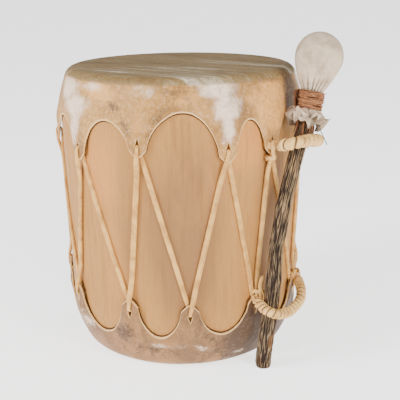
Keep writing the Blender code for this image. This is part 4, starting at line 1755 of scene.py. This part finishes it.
@dataclass
class Beater:
    """A crooked branch with its bark on, and a padded head whose cover is bound on with twine."""

    form: BeaterForm = BEATER
    bark: Bark = Bark()
    leather: SoftLeather = SoftLeather()
    twine: BarkTwine = BarkTwine()
    thread: GreyThread = GreyThread()
    stick_sides: int = 96
    stick_spacing: float = 0.0010
    ridge: float = 0.0010
    knot_places: tuple[float, ...] = (0.118, 0.205)
    knot_height: float = 0.0012
    knot_length: float = 0.009
    bark_grit: float = 0.00025
    gathers: int = 17
    gather_depth: float = 0.0022
    cover_swell: float = 0.0006
    flap_reach: float = 0.0075
    tuck_depth: float = 0.0045
    crumple_reach: float = 0.0016
    crumple_height: float = 0.0012
    cover_sides: int = 150
    skirt_rows: int = 34
    crown_rows: int = 26
    belly_rows: int = 44
    crown_share: float = 0.45
    skirt_thickness: float = 0.0009
    strand_count: int = 44
    strand_steps: int = 63
    sleeve_sides: int = 48
    bight_count: int = 12
    bight_radius: float = 0.00075
    fibre_count: int = 46
    hanging_count: int = 20

    @cached_property
    def axes(self) -> tuple[Vector, Vector, Vector, Vector]:
        """Neck, lean and the two directions across it: towards the viewer's right and away."""
        lean = self.form.lean
        right = (Vector((1, 0, 0)) - lean * lean.x).normalized()
        return self.form.neck, lean, right, lean.cross(right)

    def at(self, angle: float, reach: float, height: float) -> Vector:
        """Point at an angle round the head, off its middle line and up it from the neck."""
        neck, lean, right, away = self.axes
        return neck + (right * math.cos(angle) + away * math.sin(angle)) * reach + lean * height

    def branch(self) -> Object:
        """Makes the stick, with its bark carved in long ridges.

        Returns:
            The stick.
        """
        knots = self.form.stick_line()
        path = even_route(smooth_route(knots, 8), self.stick_spacing)
        points: Points = []
        depth: list[float] = []
        bare: list[float] = []
        straight: Points = []
        for i, (middle, (across, out)) in enumerate(zip(path, carried(path, outward(path[0])))):
            s = i * self.stick_spacing
            base = self.form.stick_radius_at(middle)
            covered = ease(-0.020, -0.006, (middle - self.form.neck).dot(self.form.lean))
            foot = 1 - 0.10 * (1 - ease(0.0, 0.004, middle.z))
            knot = sum(self.knot_height * math.exp(-((s - spot) / self.knot_length) ** 2)
                       for spot in self.knot_places)
            for j in range(self.stick_sides):
                angle = math.tau * j / self.stick_sides
                c, d = math.cos(angle), math.sin(angle)
                wander = 0.25 * ripple(c * 0.8, d * 0.8, s * 22)
                turn = angle + wander
                place = Vector((math.cos(turn) * 6.0, math.sin(turn) * 6.0, s * 30))
                rough = abs(noise.noise(place)) + 0.5 * abs(noise.noise(place * 2.1 + Vector((5, 1, 7))))
                fine = ripple(c * 9, d * 9, s * 160)
                height = 1 - min(rough * 1.9, 1.2)
                ridge = self.ridge * (height - 0.75) * (1 - covered)
                radius = (base + knot + ridge + self.bark_grit * fine) * foot
                points.append(middle + (across * c + out * d) * radius)
                depth.append(min(max(height * 0.75 + 0.2 * fine + 0.1, 0), 1))
                facing = across.x * c + out.x * d
                strip = ease(0.55, 0.85, facing) * ease(0.14, 0.19, s) * ease(0.285, 0.26, s)
                bare.append(0.75 * strip * ease(-0.2, 0.3, ripple(c * 2, d * 2, s * 30) + 0.1))
                straight.append(Vector((c * base, d * base, s)))
        values = {"depth": depth, "bare": bare}
        skin = Skin(points, ring_faces(len(path), self.stick_sides), values, {"straight": straight})
        return dress(piece("beater_branch", skin, [self.bark.make()]), "bark", "beater_stick")

    def crease_depth(self, angle: float, share: float) -> float:
        """Depth of the gathers in the cover, which grow towards the neck.

        Args:
            angle: way round the head.
            share: 0 at the crown and 1 at the neck.

        Returns:
            The depth of the crease, from 0 to 1.
        """
        deepest = 0.0
        for i in range(self.gathers):
            spot = math.tau * (i + 0.42 * ripple(i * 2.3, 1, 1)) / self.gathers
            starts = 0.54 - 0.40 * lump(i * 1.7, 3, 2)
            if i % 5 == 2:
                starts -= 0.22
            bend = spot + 0.10 * math.sin(3 * share + i)
            gap = (angle - bend + math.pi) % math.tau - math.pi
            width = 0.050 + 0.09 * (1 - share)
            deepest += ease(starts, 1.02, share) * math.exp(-(gap / width) ** 2)
        return min(deepest, 1.0)

    def cover(self, leather: Material) -> Object:
        """Makes the stuffed leather head down to the lower edge of its binding.

        Args:
            leather: its finish.

        Returns:
            The head.
        """
        form, crown = self.form, self.crown_share
        belly = form.head_length - form.head_radius
        neck_top = form.binding_height / 2
        outline: list[Triple] = []
        for i in range(1, self.crown_rows + 1):
            angle = math.pi / 2 * i / self.crown_rows
            height = belly + form.head_radius * math.cos(angle)
            outline.append((form.head_radius * math.sin(angle), height, crown * i / self.crown_rows))
        for i in range(1, self.belly_rows + 1):
            share = i / self.belly_rows
            radius = form.neck_radius + (form.head_radius - form.neck_radius) * (1 - share ** 1.7)
            outline.append((radius, belly + (neck_top - belly) * share, crown + (1 - crown) * share))
        outline.append((form.neck_radius, -neck_top, 1.0))
        points: Points = []
        depth: list[float] = []
        for radius, height, share in outline:
            for j in range(self.cover_sides):
                angle = math.tau * j / self.cover_sides
                shaded_fold = self.crease_depth(angle, share)
                place = Vector((math.cos(angle), math.sin(angle), height * 30))
                swell = self.cover_swell * fractal(place, 1.1)
                sunk = self.gather_depth * shaded_fold * ease(0.45, 0.9, share)
                reach = radius - sunk + swell * min(radius / 0.01, 1)
                points.append(self.at(angle, reach, height))
                # Painted shade in the gathers, read by the leather's finish.
                depth.append(1 - 0.9 * shaded_fold * ease(0.5, 1.0, share))
        points.append(self.at(0.0, 0.0, form.head_length))
        depth.append(1.0)
        count = self.cover_sides
        faces = flipped(ring_faces(len(outline), count, caps=False))
        faces += [(len(points) - 1, i, (i + 1) % count) for i in range(count)]
        last = (len(outline) - 1) * count
        faces.append(tuple(reversed(range(last, last + count))))
        skin = Skin(points, faces, {"depth": depth}, {})
        return dress(piece("beater_cover", skin, [leather]), "soft_leather", "beater_head")

    def ruffle(self, seed: float, length: float, spread: float) -> Skin:
        """One layer of the loose end of the cover: flaps that bend out and curl up, with tucks between them.

        Args:
            seed: sets where its flaps are.
            length: share of the skirt's full length.
            spread: share of its full flare.

        Returns:
            The layer.
        """
        form = self.form
        top = form.binding_height / 2 - 0.002
        points: Points = []
        depth: list[float] = []
        for row in range(self.skirt_rows):
            t = row / (self.skirt_rows - 1)
            for j in range(self.cover_sides):
                angle = math.tau * j / self.cover_sides
                c, s = math.cos(angle), math.sin(angle)
                lobe = math.sin(6 * angle + 1.6 * math.sin(2 * angle + seed) + seed)
                lobe = math.copysign(abs(lobe) ** 0.7, lobe) + 0.35 * math.sin(11 * angle + 2.1 * seed) * t
                size = 0.8 + 0.9 * ripple(c * 1.6, s * 1.6, seed)
                up = max(lobe, 0) * size
                drop = (form.skirt_length - top) * length * (0.96 + 0.20 * math.sin(3 * angle + seed))
                crumple = ripple(c * 3.4, s * 3.4, t * 3.0 + seed)
                crumple += 0.6 * ripple(c * 8, s * 8, t * 6.0 + seed)
                reach = form.neck_radius + (form.skirt_radius - form.neck_radius) * spread * t ** 0.7
                reach += self.flap_reach * up * t ** 1.3 - self.tuck_depth * max(-lobe, 0) * t
                reach += self.crumple_reach * crumple * t
                height = -top - drop * (t - 0.62 * t ** 3 * up) + self.crumple_height * crumple * t
                turn = angle + 0.22 * math.sin(math.pi * t) * size * (1 if lobe > 0 else -0.4)
                points.append(self.at(turn, reach, height))
                # Painted shade: darker in the tucks between the flaps and further down the skirt.
                depth.append(min(max(0.66 + 0.34 * lobe + 0.2 * (1 - t), 0), 1))
        faces = flipped(ring_faces(self.skirt_rows, self.cover_sides, caps=False))
        return Skin(points, faces, {"depth": depth}, {})

    def skirt(self, leather: Material) -> Object:
        """Makes the loose crumpled end of the cover that flares out below the binding.

        Args:
            leather: its finish.

        Returns:
            The skirt.
        """
        layers = joined([self.ruffle(0.8, 1.0, 1.0), self.ruffle(2.9, 0.72, 1.12)])
        made = piece("beater_skirt", layers, [leather])
        thickened(made, self.skirt_thickness, 0)
        return dress(made, "soft_leather", "beater_head")

    def binding(self) -> Object:
        """Makes the twine round the neck: many rough strands at a slant, with a loose bight at one side.

        Returns:
            The twine.
        """
        form = self.form
        neck, lean, _, away = self.axes
        half = form.binding_height / 2
        skins: list[Skin] = []
        core = [(form.neck_radius + 0.0004, half - 0.0006), (form.neck_radius + 0.0014, half - 0.0012),
                (form.neck_radius + 0.0014, -half + 0.0012), (form.neck_radius + 0.0004, -half + 0.0006)]
        sides = self.sleeve_sides
        sleeve = [self.at(math.tau * j / sides, *level) for level in core for j in range(sides)]
        faces = flipped(ring_faces(len(core), sides, caps=False))
        straight = [Vector((0.0, 0.0, i * 0.0004)) for i in range(len(sleeve))]
        count = len(sleeve)
        # The sleeve under the strands is painted near black: painted shade between the strands.
        skins.append(Skin(sleeve, faces, {"depth": [0.2] * count, "tone": [0.05] * count},
                          {"straight": straight}))
        for i in range(self.strand_count):
            share = (i + 0.5) / self.strand_count
            height = half * (1 - 2 * share) * 0.93
            start = 6.1 * ripple(i * 3.3, 0, 1) + i * 2.4
            slope = (0.0090 if i % 2 else 0.0030) * ripple(i * 1.9, 2, 5) - 0.0008
            layer = 0.0017 + 0.0011 * lump(i * 2.9, 6, 3)
            thick = 0.00045 + 0.00040 * lump(i * 4.7, 8, 2)
            turns = 1.05 + 0.25 * ripple(i * 0.9, 4, 4)
            path: Points = []
            for step in range(self.strand_steps + 1):
                angle = start + math.tau * turns * step / self.strand_steps
                wave = 0.0005 * ripple(i * 2.0, step * 0.17, 1)
                drift = slope * math.sin(angle - start) + 0.0011 * (step / self.strand_steps - 0.5)
                level = min(max(height + drift + wave, -half + thick), half - thick)
                path.append(self.at(angle, form.neck_radius + layer + wave * 0.6, level))
            outs = [(p - neck - lean * (p - neck).dot(lean)).normalized() for p in path]
            ends = [min(k, self.strand_steps - k) / 5 for k in range(len(path))]
            radii = [thick * min(0.35 + e, 1) for e in ends]
            shade = 0.2 + 0.75 * lump(i * 5.3, 1, 6)
            skins.append(bar(path, outs, round_section(radii), 7, shade=shade))
        for i in range(self.bight_count):
            spread = 0.0010 * (i - (self.bight_count - 1) / 2)
            out = 0.0006 * i
            fan = 0.008 * i
            places = ((0.94, -0.001, half * 0.80), (1.00 + fan, 0.0002 + out * 0.8, half * 0.72),
                      (1.02 + fan, 0.0004 + out, spread), (1.05 + fan, 0.0002 + out * 0.7, -half * 0.75),
                      (1.10, -0.001, -half * 0.92))
            knots = [self.at(math.pi * way, form.binding_radius + off, height) for way, off, height in places]
            path = even_route(smooth_route(knots, 8), 0.0008)
            section = round_section([self.bight_radius] * len(path))
            skins.append(bar(path, [-away] * len(path), section, 7, shade=0.04 + 0.03 * (i % 4)))
        skins += self.loose_fibres()
        made = piece("beater_twine", joined(skins), [self.twine.make()])
        return dress(made, "bark_twine", "beater_binding")

    def loose_fibres(self) -> list[Skin]:
        """Fibres that stand out of the twine, and others that hang from under the skirt.

        Returns:
            The fibres.
        """
        form = self.form
        half = form.binding_height / 2
        found: list[Skin] = []
        for i in range(self.fibre_count):
            angle = i * 2.399
            height = half * 0.95 * math.sin(i * 1.7)
            sway = ripple(i * 1.3, 9, 2)
            length = 0.0022 + 0.0030 * lump(i * 2.1, 5, 5)
            clear = form.binding_radius + 0.0004
            start = self.at(angle, form.neck_radius + 0.0022, height)
            middle = self.at(angle + 0.20 * sway, clear, height + 0.4 * length)
            tip = self.at(angle + 0.5 * sway, clear + 0.4 * length, height + length * sway)
            path = smooth_route([start, middle, tip], 4)
            radii = [0.00022 * (1 - 0.75 * k / (len(path) - 1)) for k in range(len(path))]
            found.append(bar(path, [form.lean] * len(path), round_section(radii), 5, shade=0.7))
        for i in range(self.hanging_count):
            angle = math.tau * i / self.hanging_count + 0.3 * ripple(i * 2.2, 1, 4)
            reach = form.collar_radius + 0.0016 + 0.0010 * abs(ripple(i * 3.1, 2, 2))
            drop = 0.028 + 0.012 * lump(i * 1.1, 7, 1)
            knots = [self.at(angle, form.neck_radius - 0.002, -half), self.at(angle, reach, -half - 0.010),
                     self.at(angle + 0.10, reach + 0.0012, -half - drop * 0.7),
                     self.at(angle + 0.16, reach + 0.0018, -half - drop)]
            path = smooth_route(knots, 6)
            radii = [0.00075 * (1 - 0.7 * (k / (len(path) - 1)) ** 3) for k in range(len(path))]
            shade = 0.05 + 0.3 * (i % 3)
            found.append(bar(path, [form.lean] * len(path), round_section(radii), 6, shade=shade))
        return found

    def loose_thread(self) -> Object:
        """Makes the one thread that hangs out of the skirt.

        Returns:
            The thread.
        """
        neck = self.form.neck
        offsets = ((0.0085, -0.012, -0.024), (0.0107, -0.013, -0.033), (0.0140, -0.013, -0.0405),
                   (0.0176, -0.013, -0.0480), (0.0186, -0.013, -0.0512))
        spacing = 0.0005
        path = even_route(smooth_route([neck + Vector(offset) for offset in offsets], 8), spacing)
        last = len(path) - 1
        radii = [0.00055 + 0.0005 * ease(0.0016, 0.0, (last - i) * spacing) for i in range(len(path))]
        radii[-1] = 0.0004
        skin = bar(path, [Vector((0, -1, 0))] * len(path), round_section(radii), 8)
        return dress(piece("loose_thread", skin, [self.thread.make()]), "bark_twine")

    def build(self) -> list[Object]:
        """Makes the whole beater.

        Returns:
            Its pieces.
        """
        branch = self.branch()
        leather = self.leather.make()
        return [branch, self.cover(leather), self.skirt(leather), self.binding(), self.loose_thread()]


# The studio


class LampPlace(NamedTuple):
    """A soft square lamp: where it is, its width and its power in watts."""

    name: str
    place: Triple
    size: float
    power: float


@dataclass
class Studio:
    """Pale floor, soft lamps and the camera in front of the drum."""

    floor_colour: Colour = (248, 248, 248)
    floor_fleck: Colour = (240, 240, 240)
    floor_glow: float = 1.8
    sky: float = 0.5
    floor_half: float = 20.0
    lamps: tuple[LampPlace, ...] = (
        LampPlace("left_lamp", (-1.9, -1.0, 1.3), 0.8, 64.0),
        LampPlace("right_lamp", (1.2, -1.6, 1.0), 0.8, 40.0),
    )
    aim: Triple = (0.0, 0.0, 0.18)
    camera_place: Triple = (0.0, -1.080, 0.4838)
    camera_turns: Triple = (-1.23, 74.23, -0.69)
    lens: float = 75.96
    sensor: float = 36.0

    def floor(self) -> Object:
        """Makes the floor."""
        half = self.floor_half
        corners = [Vector((x, y, 0)) for x, y in ((-half, -half), (half, -half), (half, half), (-half, half))]
        r = Recipe("pale_floor", 0.9, 0.1)
        grain = r.clouds(r.place(), 30.0, 2.0, 0.5)
        colour = r.over(self.floor_colour, self.floor_fleck, grain, 0, 1, 0.05)
        r.shader.inputs["Emission Color"].default_value = (1, 1, 1, 1)
        r.shader.inputs["Emission Strength"].default_value = self.floor_glow
        finish = r.finish(colour, r.bump(grain, 0.0001, 0.1))
        made = piece("floor", Skin(corners, [(0, 1, 2, 3)], {}, {}), [finish])
        return made

    def light(self) -> None:
        """Makes the sky and the lamps."""
        world = bpy.data.worlds.new("studio_sky")
        world.use_nodes = True
        sky = world.node_tree.nodes["Background"]
        sky.inputs["Color"].default_value = (1, 1, 1, 1)
        sky.inputs["Strength"].default_value = self.sky
        bpy.context.scene.world = world
        for lamp in self.lamps:
            data = bpy.data.lights.new(lamp.name, "AREA")
            data.size = lamp.size
            data.energy = lamp.power
            made = bpy.data.objects.new(lamp.name, data)
            made.location = lamp.place
            made.rotation_euler = (Vector(self.aim) - Vector(lamp.place)).to_track_quat("-Z", "Y").to_euler()
            bpy.context.scene.collection.objects.link(made)

    def camera(self) -> None:
        """Makes the camera: turned about Z, raised to its pitch, then rolled."""
        data = bpy.data.cameras.new("studio_camera")
        data.lens = self.lens
        data.sensor_width = self.sensor
        made = bpy.data.objects.new("studio_camera", data)
        turned = Matrix.Identity(4)
        for angle, axis in zip(self.camera_turns, "ZXZ"):
            turned = turned @ Matrix.Rotation(math.radians(angle), 4, axis)
        made.matrix_world = Matrix.Translation(Vector(self.camera_place)) @ turned
        bpy.context.scene.collection.objects.link(made)
        bpy.context.scene.camera = made

    def build(self) -> list[Object]:
        """Makes the whole studio.

        Returns:
            Its floor.
        """
        self.light()
        self.camera()
        return [self.floor()]


def ties(lacing: Lacing) -> list[HandleTie]:
    """The four ties at the ends of the two handles.

    Args:
        lacing: the lacing that they are tied to.

    Returns:
        The ties.
    """
    upper_front = (
        wrap_round(0.0058, 0.0046, -0.001, 0.003, 1.2, 0.6),
        wrap_round(0.0056, 0.0044, 0.012, 0.019, 1.9, 0.6),
        strip_through((-0.004, 0.004, 0.021), (0.001, 0.0065, 0.020), (0.006, 0.0105, 0.020),
                      (0.010, 0.013, 0.021)),
        strip_through((-0.001, 0.003, 0.022), (-0.0035, 0.006, 0.019), (-0.004, 0.0065, 0.012),
                      (-0.002, 0.0055, 0.006), (0.0, 0.005, 0.001)),
    )
    lower_front = (
        wrap_round(0.0058, 0.0048, -0.002, 0.002, 1.2, 0.55),
        wrap_round(0.0060, 0.0050, -0.016, -0.009, 2.2, 0.55),
        strip_through((0.004, 0.006, -0.018), (0.0045, 0.0085, -0.008), (0.003, 0.0075, 0.000),
                      (0.000, 0.006, 0.003), (0.0005, 0.0060, -0.004), (0.0015, 0.0060, -0.016)),
        strip_through((-0.0055, 0.005, -0.019), (-0.0068, 0.0075, -0.013), (-0.005, 0.007, -0.006)),
        strip_through((0.004, 0.0055, -0.002), (-0.001, 0.0060, 0.006), (0.001, 0.006, 0.015),
                      (0.004, 0.006, 0.020)),
    )
    back = (
        wrap_round(0.0052, 0.0042, -0.004, 0.004, 2.1, 0.4),
        strip_through((0.004, 0.003, 0.004), (-0.001, 0.0065, 0.003), (-0.006, 0.0085, 0.002),
                      (-0.010, 0.010, 0.001)),
        strip_through((0.000, 0.004, 0.004), (0.003, 0.0065, -0.002), (0.002, 0.0055, -0.010)),
    )
    found: list[HandleTie] = []
    for kind, end, front in (("upper", TOP, upper_front), ("lower", BOTTOM, lower_front)):
        for side, pair, strips in (("front", 3, front), ("back", 4, back)):
            z = FORM.at(end, end.lengths[pair] + 0.005)
            name, node = f"{kind}_{side}_knot", f"{kind}_handle_tie_{side}"
            found.append(HandleTie(name, node, lacing, pair, z, strips))
    return found


def main() -> None:
    """Builds every piece of the drum and its studio."""
    logging.basicConfig(level=logging.INFO, format="%(name)s: %(message)s")
    lacing = Lacing()
    brown_hide = Rawhide("lower_rawhide", cream=(147, 103, 57), honey=(114, 79, 44), warm=(154, 108, 58),
                         stain=(66, 45, 28), grain=0.35)
    upper_hide = ThongHide("upper_wrap", light=(246, 204, 130), deep=(208, 158, 90))
    lower_hide = ThongHide("lower_wrap", light=(240, 196, 122), deep=(200, 150, 84))
    builders = [
        HollowLog(),
        RawhideHead("upper_hide", TOP, "top_head", TOP_PATCHES, Rawhide("upper_rawhide")),
        RawhideHead("lower_hide", BOTTOM, "bottom_head", BOTTOM_PATCHES, brown_hide),
        lacing,
        WrappedHandle(HandleKind.UPPER, TOP, UPPER_ROUTE, pitch=0.0092, radius=0.0070, hide=upper_hide,
                      gap_depth=0.52, overlap=0.16),
        WrappedHandle(HandleKind.LOWER, BOTTOM, LOWER_ROUTE, pitch=0.0058, radius=0.0061, hide=lower_hide,
                      gap_depth=0.42),
        *ties(lacing),
        Beater(),
        Studio(),
    ]
    for builder in builders:
        for made in builder.build():
            log.info("%s: %d faces", made.name, len(made.data.polygons))


if __name__ == "__main__":
    main()
